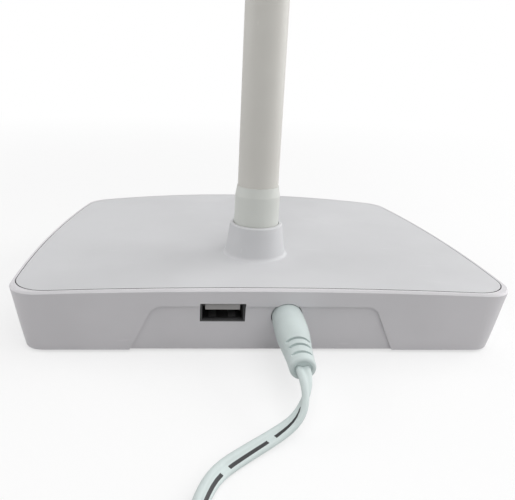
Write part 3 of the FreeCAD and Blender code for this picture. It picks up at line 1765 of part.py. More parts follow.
def build_plug():
    """The moulded grip of the plug, which droops a little, on its straight barrel."""
    droop = Rotation(Vector(1, 0, 0), -90 - value("plug_droop"))
    wall = ("jack_x", wall_y("jack_z"), "jack_z")
    axis = droop.multVec(Vector(0, 0, 1))
    start = (
        "jack_x",
        f"({wall[1]} - plug_sunk*cos(plug_droop*1deg))",
        "(jack_z + plug_sunk*sin(plug_droop*1deg))",
    )

    def in_grip(x, y, z):
        """A point of the drooping grip's own frame, whose z runs along the grip."""
        sine, cosine = "sin(plug_droop*1deg)", "cos(plug_droop*1deg)"
        return (
            f"({start[0]} + {x})",
            f"({start[1]} - {y}*{sine} + {z}*{cosine})",
            f"({start[2]} - {y}*{cosine} - {z}*{sine})",
        )

    end = "plug_length"
    corners = [
        ("0", "0"),
        ("(plug_front_radius - plug_edge)", "0"),
        ("plug_front_radius", "plug_edge"),
        ("(plug_body_radius - plug_edge/4)", "plug_body_end"),
        ("plug_neck_radius", "plug_neck"),
        ("plug_end_radius", f"({end} - plug_end_round)"),
        ("(plug_end_radius - plug_end_round)", end),
        ("plug_dish_radius", end),
        ("(plug_dish_radius - plug_dish)", f"({end} - plug_dish)"),
        ("0", f"({end} - plug_dish)"),
    ]
    arcs = {2: ("plug_bulge_radius", True), 5: ("plug_end_round", True)}
    grip = turned("plug_grip", corners, start, droop, arcs)
    barrel_start = f"({start[1]} - barrel_length)"
    length = "(barrel_length + barrel_held)"
    at = ("jack_x", barrel_start, "jack_z")
    tools = [cylinder("plug_core", "barrel_radius", length, at, "Y")]
    for i in PLUG_SLOTS:
        along = f"(plug_slot_place_{i} - plug_slot_width/2)"
        size = ("2*plug_body_radius", "plug_body_radius", "plug_slot_width")
        corner = in_grip(
            "-plug_body_radius", "(plug_slot_depth - plug_neck_radius - plug_body_radius)", along
        )
        slot = place(block(f"plug_slot_{i}", corner, size), corner, droop)
        tools.append(slot)
    node("dc_plug", cut("plug", grip, *tools))
    tube = cylinder("barrel_tube", "barrel_radius", length, at, "Y")
    node("dc_plug_barrel", cut("barrel", tube, cylinder("barrel_bore", "barrel_bore", length, at, "Y")))
    seat = "plug_length - plug_dish + cord_width/2*tan(plug_droop*1deg)"
    return point(start) + axis * value(seat), axis


def build_lead(plug_end, plug_way):
    """The free lead, its put-away coil and the stretch to the adapter."""
    centre = point(("coil_x", "coil_y", "cord_width/2 + cord_rest"))
    outer, inner = value("coil_outer"), value("coil_inner")
    straight, climb = value("cord_width"), value("coil_layer")
    total = COIL_TURNS_IN + COIL_TURNS_UP + COIL_TURNS_OUT

    def coil_point(turns):
        if turns <= COIL_TURNS_IN:
            radius, rise = outer + (inner - outer) * turns / COIL_TURNS_IN, 0
        elif turns <= COIL_TURNS_IN + COIL_TURNS_UP:
            share = (turns - COIL_TURNS_IN) / COIL_TURNS_UP
            radius = inner - value("coil_dip") * math.sin(math.pi * share) ** 2
            rise = climb * (1 - math.cos(math.pi * share)) / 2
        else:
            share = (turns - COIL_TURNS_IN - COIL_TURNS_UP) / COIL_TURNS_OUT
            radius, rise = inner + (outer - inner) * share, climb
        angle = math.tau * turns
        return centre + Vector(radius * math.cos(angle), radius * math.sin(angle), rise)

    def coil_way(turns):
        around = Vector(-math.sin(math.tau * turns), math.cos(math.tau * turns), 0)
        if turns in (0, total):
            return around
        step = 1 / (8 * STEPS_PER_TURN)
        return (coil_point(turns + step) - coil_point(turns - step)).normalize()

    count = round(total * STEPS_PER_TURN)
    stops = [i / STEPS_PER_TURN for i in range(count + 1)]
    places = [coil_point(turns) for turns in stops]
    ways = [coil_way(turns) for turns in stops]
    coil_start, coil_end = places[0] - ways[0] * straight, places[-1] + ways[-1] * straight
    edges = [Part.LineSegment(coil_start, places[0]).toShape()]
    for i in range(count):
        edges += biarc(places[i], ways[i], places[i + 1], ways[i + 1])
    edges.append(Part.LineSegment(places[-1], coil_end).toShape())
    node("cord_coil", swept("coil", edges, lead_section(coil_start, ways[0])))
    print(f"cord_coil: least gap to itself {coil_gap(edges):.2f} mm")

    first = [plug_end, plug_end + plug_way * value("cord_width")]
    lead = first + [Vector(*at) for at in LEAD_ROUTE] + [coil_start]
    edges, radii = corner_arcs(lead)
    print("power_cord: radii", ", ".join(f"{radius:.0f}" for radius in radii))
    node("power_cord", swept("lead", edges, lead_section(lead[0], plug_way), upright=True))

    tip = point(("adapter_x + relief_length + cord_rest", "coil_y + coil_outer", "relief_height"))
    tail = [coil_end] + [Vector(*at) for at in TAIL_ROUTE] + [tip]
    edges, radii = corner_arcs(tail)
    print("cord_tail: radii", ", ".join(f"{radius:.0f}" for radius in radii))
    node("cord_tail", swept("tail", edges, lead_section(tail[0], ways[-1]), upright=True))


def coil_gap(edges):
    """The least gap between a coil's turns, from points a tenth of a turn apart or less."""
    path = Part.Wire(edges)
    points = path.discretize(Distance=value("cord_thick"))
    skip = round(value("3*coil_inner/cord_thick"))
    least = path.Length
    for i, a in enumerate(points):
        for b in points[i + skip :]:
            aside = max(0, math.hypot(a.x - b.x, a.y - b.y) - value("cord_thick"))
            above = max(0, abs(a.z - b.z) - value("cord_width"))
            least = min(least, math.hypot(aside, above))
    return least


def build_adapter():
    """A plain mains adapter on its face, with its blades up and a ribbed relief for the lead."""
    middle = "(coil_y + coil_outer)"
    low = ("adapter_x - adapter_length", f"{middle} - adapter_width/2", "0")
    case = block("adapter_block", low, ("adapter_length", "adapter_width", "adapter_height"))
    tall = value("adapter_height - 2*adapter_edge")
    case = rounded("adapter_corners", case, "adapter_round", lambda edge: edge.BoundBox.ZLength > tall)
    case = rounded(
        "adapter_softened", case, "adapter_edge", lambda edge: edge.BoundBox.ZLength < value("adapter_edge")
    )
    seam_z = "adapter_height*adapter_seam_share"
    band = block(
        "seam_band",
        (low[0] + " - overrun", low[1] + " - overrun", seam_z),
        ("adapter_length + 2*overrun", "adapter_width + 2*overrun", "adapter_seam"),
    )
    keep = block(
        "seam_core",
        (f"{low[0]} + adapter_seam_depth", f"{low[1]} + adapter_seam_depth", "0"),
        ("adapter_length - 2*adapter_seam_depth", "adapter_width - 2*adapter_seam_depth", "adapter_height"),
    )
    core = rounded(
        "seam_core_corners",
        keep,
        "adapter_round - adapter_seam_depth",
        lambda edge: edge.BoundBox.ZLength > tall,
    )
    node("adapter_case", cut("adapter", case, cut("seam_ring", band, core)))

    corners = [("0", "0"), ("relief_foot_radius", "0")]
    step = f"(relief_length/{2 * RELIEF_RINGS + 1})"
    slope = "((relief_foot_radius - relief_tip_radius)/relief_length)"
    for i in range(2 * RELIEF_RINGS + 1):
        along = f"({i + 1}*{step})"
        outer = f"(relief_foot_radius - {slope}*{along})"
        deep = f"({outer} - relief_ring_depth)"
        corners += [(outer, along), (deep, along)] if i % 2 == 0 else [(deep, along), (outer, along)]
    corners[-1] = ("0", "relief_length")
    at = ("adapter_x", middle, "relief_height")
    node("adapter_relief", turned("relief", corners, at, ALONG["X"]))

    blades = []
    for i, side in enumerate(BOTH_SIDES):
        along = f"adapter_x - adapter_length/2 + {side}*blade_pitch/2"
        corners = [
            ("-blade_width/2", "0"),
            ("blade_width/2", "0"),
            ("blade_width/2", "(blade_length - blade_tip)"),
            ("(blade_width/2 - blade_tip)", "blade_length"),
            ("(-blade_width/2 + blade_tip)", "blade_length"),
            ("-blade_width/2", "(blade_length - blade_tip)"),
        ]
        blade = padded(f"blade_{i}", "YZ_Plane", corners, "blade_thick", (along, middle, "adapter_height"))
        hole = cylinder(
            f"blade_hole_{i}",
            "blade_hole_radius",
            "adapter_length",
            (f"{along} - adapter_length/2", middle, "adapter_height + blade_hole_share*blade_length"),
            "X",
        )
        blades.append(cut(f"blade_drilled_{i}", blade, hole))
    node("adapter_blades", group("blade_pair", *blades))


def check_and_write():
    """Stops on any failed object or shape, then writes each sub-part's own file."""
    doc.recompute()
    failed = [item.Name for item in doc.Objects if {"Invalid", "Error"} & set(item.State)]
    failed += [name for name, item in nodes.items() if item.Shape.isNull() or not item.Shape.isValid()]
    failed += [name for name, item in nodes.items() if item.Label != name]
    if failed:
        raise RuntimeError(f"failed objects: {', '.join(failed)}")
    os.makedirs("parts", exist_ok=True)
    for name, item in nodes.items():
        item.Shape.exportStep(f"parts/{name}.step")
    print(f"{len(nodes)} sub-parts, {sum(len(item.Shape.Solids) for item in nodes.values())} solids")


build_base()
build_board()
build_usb()
build_jack()
build_base_harness()
build_stem()
build_hinge()
build_head()
build_lead(*build_plug())
build_adapter()
check_and_write()
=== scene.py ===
"""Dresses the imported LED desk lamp: camera and stage, the flat lead, small moulded detail and finishes."""

import json
import math

import bmesh
import bpy
from bpy.props import FloatProperty, FloatVectorProperty, IntProperty, PointerProperty
from bpy.types import Operator, Panel, PropertyGroup
from mathutils import Matrix, Vector
from mathutils.bvhtree import BVHTree


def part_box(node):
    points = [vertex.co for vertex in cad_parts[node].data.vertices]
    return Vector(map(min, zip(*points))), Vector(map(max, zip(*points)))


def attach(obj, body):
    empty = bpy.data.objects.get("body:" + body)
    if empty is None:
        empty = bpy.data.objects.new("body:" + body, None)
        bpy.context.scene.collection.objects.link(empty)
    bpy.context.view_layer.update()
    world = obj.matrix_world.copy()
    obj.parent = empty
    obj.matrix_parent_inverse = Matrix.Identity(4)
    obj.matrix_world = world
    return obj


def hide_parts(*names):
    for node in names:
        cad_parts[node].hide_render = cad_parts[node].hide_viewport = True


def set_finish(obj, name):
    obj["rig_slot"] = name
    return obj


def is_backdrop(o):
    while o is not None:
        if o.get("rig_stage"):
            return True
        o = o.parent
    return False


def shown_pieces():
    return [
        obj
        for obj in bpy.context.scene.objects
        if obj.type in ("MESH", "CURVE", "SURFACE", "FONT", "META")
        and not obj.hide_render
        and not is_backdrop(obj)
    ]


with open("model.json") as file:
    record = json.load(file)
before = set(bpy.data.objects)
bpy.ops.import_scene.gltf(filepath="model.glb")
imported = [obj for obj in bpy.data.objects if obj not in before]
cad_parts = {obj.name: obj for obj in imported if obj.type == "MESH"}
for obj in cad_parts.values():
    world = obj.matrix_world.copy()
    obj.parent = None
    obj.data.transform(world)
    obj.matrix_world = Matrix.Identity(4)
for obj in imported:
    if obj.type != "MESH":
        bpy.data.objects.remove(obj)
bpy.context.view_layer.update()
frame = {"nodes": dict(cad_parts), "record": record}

bl_info = {
    "name": "LED Desk Lamp Dressing",
    "version": (1, 0, 0),
    "blender": (4, 5, 0),
    "location": "View3D > Sidebar > Desk Lamp",
    "description": "Builds the stage, the lead, the small detail and the finishes of a desk lamp",
    "category": "Object",
}

# The lead's route from the plug to the adapter, in metres, as in the CAD source and up to 1 mm from it
LEAD_ROUTE = [
    (-0.0065, 0.0705, 0.0079),
    (-0.0036, 0.0749, 0.0045),
    (0.0022, 0.0785, 0.0025),
    (0.0105, 0.0848, 0.00215),
    (0.0180, 0.0914, 0.00215),
    (0.0218, 0.0998, 0.00215),
    (0.0244, 0.1100, 0.00215),
    (0.0262, 0.1210, 0.00215),
    (0.0268, 0.1320, 0.00215),
]
TAIL_ROUTE = [
    (-0.0134, 0.1756, 0.00715),
    (-0.0204, 0.1758, 0.0100),
]
# How far the lead has turned on its own line at the plug and at each point of its route, in degrees
LEAD_TURNS = [270, 245, 168, 100, 68, 54, 46, 38, 30, 20, 8]

# What each point of the lead's skin holds: its place along the lead, across it, and on which flat side
LEAD_ATTRIBUTES = ("along", "across", "facing")

# How the meshes are made: angle in degrees under which faces are smooth, squares along a flat bar, and
# the height from which the marks are dropped onto the controls
SMOOTH_UNDER = 35
BAR_STEPS = 4
DROP_HEIGHT = 0.02

# Where each mask of the finishes starts and where it is full, and for the seam's rear its least and most;
# the two seam masks place painted shade
SEAM_UPRIGHT = (0.5, 0.3)
SEAM_REAR = (0.1, 0.6, 0.25, 1.0)
DRIFT_SPAN = (0.3, 0.7)
RUB_SPAN = (0.52, 0.78)
SCRATCH_SPAN = (0.7, 0.76)
STREAK_SPAN = (0.35, 0.65)
DUST_UPWARD = (0.35, 0.95)
DUST_CLOUD = (0.42, 0.72)
DUST_SPECK = (0.74, 0.80)
INK_WEAR = (0.16, 0.24)
INK_BLEED = 0.03

# Grain: how much of it is fine, and the scale of the coarse part as a share of the fine one's
GRAIN_FINE = 0.65
GRAIN_COARSE_SCALE = 0.31

# Scratches lie in one direction: the turn and the stretch of their pattern
SCRATCH_TURN = (0.4, 0.9, 0.6)
SCRATCH_STRETCH = (1, 14, 3)
SCRATCH_SHARE = 0.25
SCRATCH_PALE = 1.18

# Dust: the scale of its clouds, its colour, and how much rougher it makes a face
CLOUD_SCALE = 45.0
DUST_COLOUR = (0.45, 0.43, 0.40)
DUST_ROUGHNESS = 0.06

# Metal: the scale of its broad streaks as a share of its lines', their shades, and rubbed patches
STREAK_SCALE = 0.2
STREAK_SHADES = (0.86, 1.08)
METAL_RUB_SHARE = 0.35
METAL_RUB_SHADE = 0.72

# Lead: its shades, its roughness where plain and where rubbed, its grain's depth and its ink's grain
LEAD_SHADES = (0.95, 1.04)
LEAD_ROUGH = (0.5, 0.38)
LEAD_DEPTH = 0.00001
INK_SCALE = 2400.0

# Diffuser: its colours, its roughness where plain and where rubbed, and its prisms
OPAL_COLOURS = ((0.80, 0.81, 0.80), (0.84, 0.85, 0.84))
OPAL_ROUGH = (0.34, 0.24)
PRISM_SCALE = 160.0
PRISM_DEPTH = 0.00006
PRISM_STRENGTH = 0.6

# Boards: the tracks' scale, line and depth, how much they show, and the shades and roughness of the resist
TRACK_SCALE = 120.0
TRACK_LINE = 0.03
TRACK_DEPTH = 0.00004
TRACK_SHARE = 0.5
RESIST_SHADES = (0.9, 1.1)
RESIST_ROUGH = (0.3, 0.42)


# Settings


def length(text, default, about):
    return FloatProperty(name=text, description=about, default=default, unit="LENGTH", precision=5)


def angle(text, degrees, about):
    return FloatProperty(name=text, description=about, default=math.radians(degrees), subtype="ANGLE")


def number(text, default, about):
    return FloatProperty(name=text, description=about, default=default)


def whole(text, default, about):
    return IntProperty(name=text, description=about, default=default)


def spot(text, default, about):
    return FloatVectorProperty(
        name=text, description=about, default=default, size=3, subtype="TRANSLATION", unit="LENGTH"
    )


def colour(text, default, about):
    return FloatVectorProperty(
        name=text, description=about, default=default, size=3, subtype="COLOR", min=0, max=1
    )


class LampStageSettings(PropertyGroup):
    camera_place: spot("Camera place", (0.0252, 0.19674, 0.09226), "Where the camera stands")
    camera_heading: angle("Camera heading", 176.99, "Turn of the camera about the vertical")
    camera_pitch: angle("Camera pitch", 18.95, "How far the camera looks down")
    camera_roll: angle("Camera roll", 1.51, "Turn of the camera about its own line of sight")
    camera_lens: number("Lens", 39.53, "Focal length in millimetres")
    camera_sensor: number("Sensor", 36, "Width of the sensor in millimetres")
    camera_shift: number("Shift", 0.0834, "Sideways shift of the lens as a share of the width")
    camera_near: length("Near clip", 0.005, "Nearest distance that the camera sees")
    camera_far: length("Far clip", 20, "Farthest distance that the camera sees")
    floor_colour: colour("Floor", (0.95, 0.95, 0.95), "Colour of the floor and the backdrop")
    floor_size: length("Floor size", 6.0, "Side of the square floor")
    floor_pale: number("Floor paleness", 0.62, "Share of plain white in the floor near the lamp")
    floor_near: length("Floor near", 0.16, "Distance from the stem at which the floor starts to pale")
    floor_far: length("Floor far", 0.75, "Distance from the stem at which the floor is plain white")
    floor_bounce: number("Floor bounce", 0.55, "Share of the light that the floor throws back")
    key_power: number("Key light", 6.8, "Power of the light behind the camera")
    key_place: spot("Key place", (-0.15, 0.85, 1.05), "Where it hangs")
    key_size: length("Key size", 1.3, "Its side")
    top_power: number("Top light", 6.9, "Power of the light overhead")
    top_place: spot("Top place", (-0.3, 0, 1.35), "Where it hangs")
    top_size: length("Top size", 1.5, "Its side")
    right_power: number("Right light", 10.1, "Power of the low light on the picture's right")
    right_place: spot("Right place", (-1.17, -0.25, 0.37), "Where it stands")
    right_size: length("Right size", 1.1, "Its side")
    left_power: number("Left light", 5.4, "Power of the low light on the picture's left")
    left_place: spot("Left place", (1.17, -0.25, 0.37), "Where it stands")
    left_size: length("Left size", 1.1, "Its side")
    light_aim: spot("Light aim", (0, 0, 0.05), "What the lights point at")
    sky_level: number("Sky", 0.27, "Strength of the surrounding light")


class LampLeadSettings(PropertyGroup):
    plug_end: spot("Plug end", (-0.0071, 0.061853, 0.011596), "Where the lead leaves the plug's grip")
    plug_droop: angle("Plug droop", 5, "How far the plug's grip hangs down")
    width: length("Lead width", 0.0042, "Width of the flat twin lead")
    wire_radius: length("Wire radius", 0.00102, "Radius of one of its two wires")
    web: length("Web", 0.0005, "Half the thickness of the web between the wires")
    wire_steps: whole("Wire steps", 11, "Points round one wire's section")
    coil_x: length("Coil across", -0.002, "Middle of the coil across the lamp")
    coil_y: length("Coil behind", 0.147, "Middle of the coil behind the stem")
    coil_outer: length("Coil outside", 0.0288, "Radius of the outermost turn")
    coil_inner: length("Coil inside", 0.0168, "Radius of the innermost turn")
    coil_layer: length("Coil layer", 0.0051, "Rise from the lower layer to the upper one")
    coil_dip: length("Coil dip", 0.003, "How far the climb swings inwards")
    turns_in: number("Turns in", 4.25, "Turns of the lower layer")
    turns_up: number("Turns up", 0.5, "Turns of the climb")
    turns_out: number("Turns out", 4.5, "Turns of the upper layer")
    stops_per_turn: whole("Stops", 16, "Route points in one turn")
    tip_place: spot("Lead end", (-0.02745, 0.1758, 0.0100), "Where the lead enters the adapter's relief")
    dash_length: length("Dash", 0.0130, "Length of one printed dash")
    dash_pitch: length("Dash pitch", 0.0158, "Length from one dash to the next")
    dash_start: length("Dash start", 0.0158, "Distance of the first dash from the plug")
    dash_low: number("Dash low", -0.46, "Lower edge of a dash as a share of half the width")
    dash_high: number("Dash high", -0.02, "Its upper edge as a share of half the width")
    real_length: length("Lead length", 1.43, "Length of the lead from the plug to the adapter")


class LampDetailSettings(PropertyGroup):
    mark_height: length("Mark height", 0.00015, "How far the marks stand above the controls")
    mark_sunk: length("Mark sunk", 0.0002, "How far they reach into them")
    power_radius: length("Power mark", 0.0017, "Radius of the power mark's open ring")
    power_line: length("Power line", 0.00045, "Width of its line")
    power_gap: angle("Power gap", 76, "Opening of the ring")
    power_steps: whole("Power steps", 28, "Steps round the ring")
    power_bar: number("Power bar", 1.2, "Length of the bar in the gap as a share of the ring's radius")
    power_bar_place: number("Power bar place", 0.8, "Its distance from the middle as the same share")
    sign_length: length("Sign", 0.0030, "Length of the plus and minus marks on the rocker")
    sign_line: length("Sign line", 0.0005, "Width of their lines")
    sign_inset: length("Sign inset", 0.0032, "Distance of a sign from the end of the rocker")
    button_radius: length("Button radius", 0.0055, "Radius of the power button's cap")
    trim_gap: length("Trim gap", 0.0008, "Distance from the button to the middle of its trim ring")
    trim_radius: length("Trim radius", 0.0004, "Radius of the trim ring's section")
    trim_steps: whole("Trim steps", 72, "Steps round the trim ring")
    trim_sides: whole("Trim sides", 10, "Sides of its section")
    lens_radius: length("Lens radius", 0.0010, "Radius of the indicator's lens")
    lens_y: length("Lens place", -0.0085, "Distance of the lens from the hinge along the light")
    lens_flat: number("Lens height", 0.45, "Height of the lens as a share of its radius")
    lens_steps: whole("Lens steps", 24, "Steps round the lens")
    spring_width: length("Spring width", 0.0024, "Width of an outlet spring")
    spring_length: length("Spring length", 0.0060, "Length of an outlet spring")
    spring_rise: length("Spring rise", 0.0006, "How far an outlet spring bows")
    spring_sheet: length("Spring sheet", 0.00025, "Thickness of its sheet")
    spring_steps: whole("Spring steps", 12, "Steps along its bow")
    spring_squares: whole("Spring squares", 2, "Steps across it")
    spring_sunk: length("Spring sunk", 0.0018, "Distance of the springs from the outlet's mouth")
    spring_spread: number("Spring spread", 1.3, "Place of each beside the middle as a share of its width")
    outlet_lip: length("Outlet lip", 0.00075, "Wall and flare of the outlet's shell under its springs")
    ridge_count: whole("Ridges", 6, "Finger ridges on each side of the adapter")
    ridge_pitch: length("Ridge pitch", 0.0026, "Distance from one ridge to the next")
    ridge_width: length("Ridge width", 0.0010, "Width of a ridge")
    ridge_height: length("Ridge height", 0.0110, "Height of a ridge up the adapter's side")
    ridge_proud: length("Ridge proud", 0.0005, "How far a ridge stands out")
    ridge_place: number("Ridge place", 0.36, "Height of the ridges' middle as a share of the case's height")
    ridge_round: number("Ridge rounding", 0.3, "Rounding of a ridge as a share of its width")
    ridge_bends: whole("Ridge bends", 3, "Steps in that rounding")


class LampFinishSettings(PropertyGroup):
    cover: colour("Lid plastic", (0.62, 0.622, 0.635), "Colour of the crowned lid")
    # The seam colour is painted shade, laid in the seam between the lid and the tray and on the sides of the
    # outlet's cut-out; the sizes below place it
    seam: colour("Seam", (0.03, 0.03, 0.032), "Colour in the seam between the lid and the tray")
    seam_height: length("Seam height", 0.0244, "Height under which the lid's upright edge is in the seam")
    seam_blend: length("Seam blend", 0.0002, "Depth under that height at which the seam's colour is full")
    cutout_play: length("Cut-out play", 0.00025, "How far round the outlet's shell the tray is in shadow")
    cutout_dark: length("Cut-out full dark", 0.0002, "How far round the outlet's shell that shadow is full")
    tray: colour("Tray plastic", (0.685, 0.67, 0.69), "Colour of the lower housing")
    stem: colour("Stem paint", (0.65, 0.635, 0.595), "Colour of the painted tube")
    sleeve: colour("Sleeve plastic", (0.66, 0.675, 0.64), "Colour of the sleeve and the fork")
    head: colour("Head plastic", (0.63, 0.635, 0.63), "Colour of the light's two halves")
    lead: colour("Lead vinyl", (0.613, 0.685, 0.675), "Colour of the plug and the lead")
    button: colour("Button plastic", (0.40, 0.41, 0.42), "Colour of the button and the rocker")
    dash: colour("Printed dash", (0.02, 0.02, 0.022), "Colour of the dashes on the lead")
    mark: colour("Marks", (0.12, 0.125, 0.13), "Colour of the marks on the controls")
    adapter: colour("Adapter plastic", (0.62, 0.63, 0.62), "Colour of the mains adapter")


class LampSettings(PropertyGroup):
    stage: PointerProperty(type=LampStageSettings)
    lead: PointerProperty(type=LampLeadSettings)
    detail: PointerProperty(type=LampDetailSettings)
    finish: PointerProperty(type=LampFinishSettings)


# Mesh helpers


def put_in_scene(name, data, body, slot=None):
    """A new object at the origin that rides on a body."""
    made = bpy.data.objects.new(name, data)
    bpy.context.scene.collection.objects.link(made)
    if body:
        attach(made, body)
    if slot:
        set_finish(made, slot)
    return made


def keep_mesh(work, name, body, slot=None):
    """Turns a bmesh into an object, smooth where its faces meet at a small angle."""
    bmesh.ops.recalc_face_normals(work, faces=work.faces)
    data = bpy.data.meshes.new(name)
    work.to_mesh(data)
    work.free()
    data.shade_smooth()
    data.set_sharp_from_angle(angle=math.radians(SMOOTH_UNDER))
    return put_in_scene(name, data, body, slot)


def corners(name):
    """The lowest and the highest corner of a CAD piece's box."""
    return (Vector(corner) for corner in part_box(name))


def middle(name):
    """The middle of a CAD piece's box."""
    low, high = corners(name)
    return (low + high) / 2


def flat_bar(work, centre, along_x, along_y):
    """A flat strip in a few squares, level, at a place."""
    made = bmesh.ops.create_grid(work, x_segments=BAR_STEPS, y_segments=BAR_STEPS, size=0.5)
    bmesh.ops.scale(work, vec=(along_x, along_y, 1), verts=made["verts"])
    bmesh.ops.translate(work, vec=centre, verts=made["verts"])


def raise_marks(work, item, sunk, height):
    """Drops flat marks onto the top of a CAD piece and gives them their thickness."""
    top = BVHTree.FromObject(item, bpy.context.evaluated_depsgraph_get())
    for vertex in work.verts:
        hit = top.ray_cast(vertex.co + Vector((0, 0, DROP_HEIGHT)), Vector((0, 0, -1)))[0]
        vertex.co.z = hit.z - sunk
    grown = bmesh.ops.extrude_face_region(work, geom=work.faces[:])["geom"]
    upper = [part for part in grown if isinstance(part, bmesh.types.BMVert)]
    bmesh.ops.translate(work, vec=(0, 0, sunk + height), verts=upper)


# Node helpers


def grow(tree, kind, settings=None, **inputs):
    """Adds a node, sets its properties, and fills or links its inputs by name."""
    made = tree.nodes.new(kind)
    for key, value in (settings or {}).items():
        setattr(made, key, value)
    for key, value in inputs.items():
        name = key.replace("_", " ")
        socket = next(s for s in made.inputs if s.name == name and s.enabled)
        if isinstance(value, bpy.types.NodeSocket):
            tree.links.new(value, socket)
        else:
            socket.default_value = value
    return made


def math_node(tree, operation, first, second=0.0, third=0.0):
    made = tree.nodes.new("ShaderNodeMath")
    made.operation = operation
    for socket, value in zip(made.inputs, (first, second, third)):
        if isinstance(value, bpy.types.NodeSocket):
            tree.links.new(value, socket)
        else:
            socket.default_value = value
    return made.outputs[0]


def ramp(tree, value, low, high, to_low=0.0, to_high=1.0):
    """Maps a varying value from one span to another, held at its ends."""
    made = grow(
        tree,
        "ShaderNodeMapRange",
        {"interpolation_type": "SMOOTHSTEP"},
        Value=value,
        From_Min=low,
        From_Max=high,
        To_Min=to_low,
        To_Max=to_high,
    )
    return made.outputs["Result"]


def split(tree, vector):
    """The three parts of a vector, by name."""
    return grow(tree, "ShaderNodeSeparateXYZ", Vector=vector).outputs


def facing_way(tree):
    """The three parts of the way that the surface faces."""
    return split(tree, grow(tree, "ShaderNodeNewGeometry").outputs["Normal"])


def mix_colour(tree, share, first, second):
    made = tree.nodes.new("ShaderNodeMix")
    made.data_type = "RGBA"
    for socket, value in zip((made.inputs[0], made.inputs[6], made.inputs[7]), (share, first, second)):
        if isinstance(value, bpy.types.NodeSocket):
            tree.links.new(value, socket)
        elif isinstance(value, (float, int)):
            socket.default_value = value
        else:
            socket.default_value = (*value[:3], 1)
    return made.outputs[2]


def new_group(name, inputs, outputs):
    """A shader node group with its named sockets, its tree and its input node."""
    tree = bpy.data.node_groups.new(name, "ShaderNodeTree")
    for text, kind, default in inputs:
        socket = tree.interface.new_socket(text, in_out="INPUT", socket_type=kind)
        if default is not None:
            socket.default_value = default
    for text in outputs:
        tree.interface.new_socket(text, in_out="OUTPUT", socket_type="NodeSocketFloat")
    return tree, tree.nodes.new("NodeGroupInput"), tree.nodes.new("NodeGroupOutput")


FLOAT, VECTOR = "NodeSocketFloat", "NodeSocketVector"


def noise(tree, vector, scale, detail=2.0, roughness=0.5):
    made = grow(tree, "ShaderNodeTexNoise", Vector=vector, Scale=scale, Detail=detail, Roughness=roughness)
    return made.outputs["Fac"]


def moulded_grain():
    """Fine spark-eroded texture of a moulded face, and the slow drift of its tone."""
    tree, source, out = new_group(
        "Moulded grain",
        [("Vector", VECTOR, None), ("Grain Scale", FLOAT, 2600.0), ("Drift Scale", FLOAT, 22.0)],
        ["Height", "Drift"],
    )
    vector = source.outputs["Vector"]
    fine = noise(tree, vector, source.outputs["Grain Scale"], 3.0, 0.6)
    coarse_scale = math_node(tree, "MULTIPLY", source.outputs["Grain Scale"], GRAIN_COARSE_SCALE)
    coarse = math_node(tree, "MULTIPLY", noise(tree, vector, coarse_scale), 1 - GRAIN_FINE)
    height = math_node(tree, "MULTIPLY_ADD", fine, GRAIN_FINE, coarse)
    drift = noise(tree, vector, source.outputs["Drift Scale"], 3.0, 0.55)
    tree.links.new(height, out.inputs["Height"])
    tree.links.new(ramp(tree, drift, *DRIFT_SPAN), out.inputs["Drift"])
    return tree


def handling():
    """Rubbed patches and hair scratches left by hands and cloths."""
    tree, source, out = new_group(
        "Handling marks",
        [("Vector", VECTOR, None), ("Patch Scale", FLOAT, 35.0), ("Scratch Scale", FLOAT, 60.0)],
        ["Rub", "Scratch"],
    )
    vector = source.outputs["Vector"]
    patch = noise(tree, vector, source.outputs["Patch Scale"], 4.0, 0.6)
    turned = grow(
        tree, "ShaderNodeMapping", Vector=vector, Rotation=SCRATCH_TURN, Scale=SCRATCH_STRETCH
    )
    line = noise(tree, turned.outputs[0], source.outputs["Scratch Scale"], 2.0)
    tree.links.new(ramp(tree, patch, *RUB_SPAN), out.inputs["Rub"])
    tree.links.new(ramp(tree, line, *SCRATCH_SPAN), out.inputs["Scratch"])
    return tree


def drawn_metal():
    """Fine parallel lines of drawn or rolled metal."""
    tree, source, out = new_group(
        "Drawn metal",
        [("Vector", VECTOR, None), ("Stretch", VECTOR, (1.0, 1.0, 12.0)), ("Line Scale", FLOAT, 900.0)],
        ["Height", "Streak"],
    )
    stretched = grow(tree, "ShaderNodeVectorMath", {"operation": "DIVIDE"})
    tree.links.new(source.outputs["Vector"], stretched.inputs[0])
    tree.links.new(source.outputs["Stretch"], stretched.inputs[1])
    line_scale = source.outputs["Line Scale"]
    lines = noise(tree, stretched.outputs[0], line_scale, 2.0)
    streak = noise(tree, stretched.outputs[0], math_node(tree, "MULTIPLY", line_scale, STREAK_SCALE))
    tree.links.new(lines, out.inputs["Height"])
    tree.links.new(ramp(tree, streak, *STREAK_SPAN), out.inputs["Streak"])
    return tree


def settled_dust():
    """Thin dust that lies on faces that look up, thicker in places."""
    tree, source, out = new_group(
        "Settled dust", [("Vector", VECTOR, None), ("Speck Scale", FLOAT, 1500.0)], ["Dust", "Speck"]
    )
    vector = source.outputs["Vector"]
    upward = ramp(tree, facing_way(tree)["Z"], *DUST_UPWARD)
    cloud = ramp(tree, noise(tree, vector, CLOUD_SCALE, 4.0, 0.65), *DUST_CLOUD)
    speck = ramp(tree, noise(tree, vector, source.outputs["Speck Scale"], 1.0), *DUST_SPECK)
    tree.links.new(math_node(tree, "MULTIPLY", upward, cloud), out.inputs["Dust"])
    tree.links.new(math_node(tree, "MULTIPLY", upward, speck), out.inputs["Speck"])
    return tree


GROUPS = {}


def build_groups():
    for key, maker in (
        ("grain", moulded_grain),
        ("marks", handling),
        ("drawn", drawn_metal),
        ("dust", settled_dust),
    ):
        GROUPS[key] = maker()


def use_group(tree, key, vector, **inputs):
    made = tree.nodes.new("ShaderNodeGroup")
    made.node_tree = GROUPS[key]
    tree.links.new(vector, made.inputs["Vector"])
    for name, value in inputs.items():
        made.inputs[name.replace("_", " ")].default_value = value
    return made.outputs


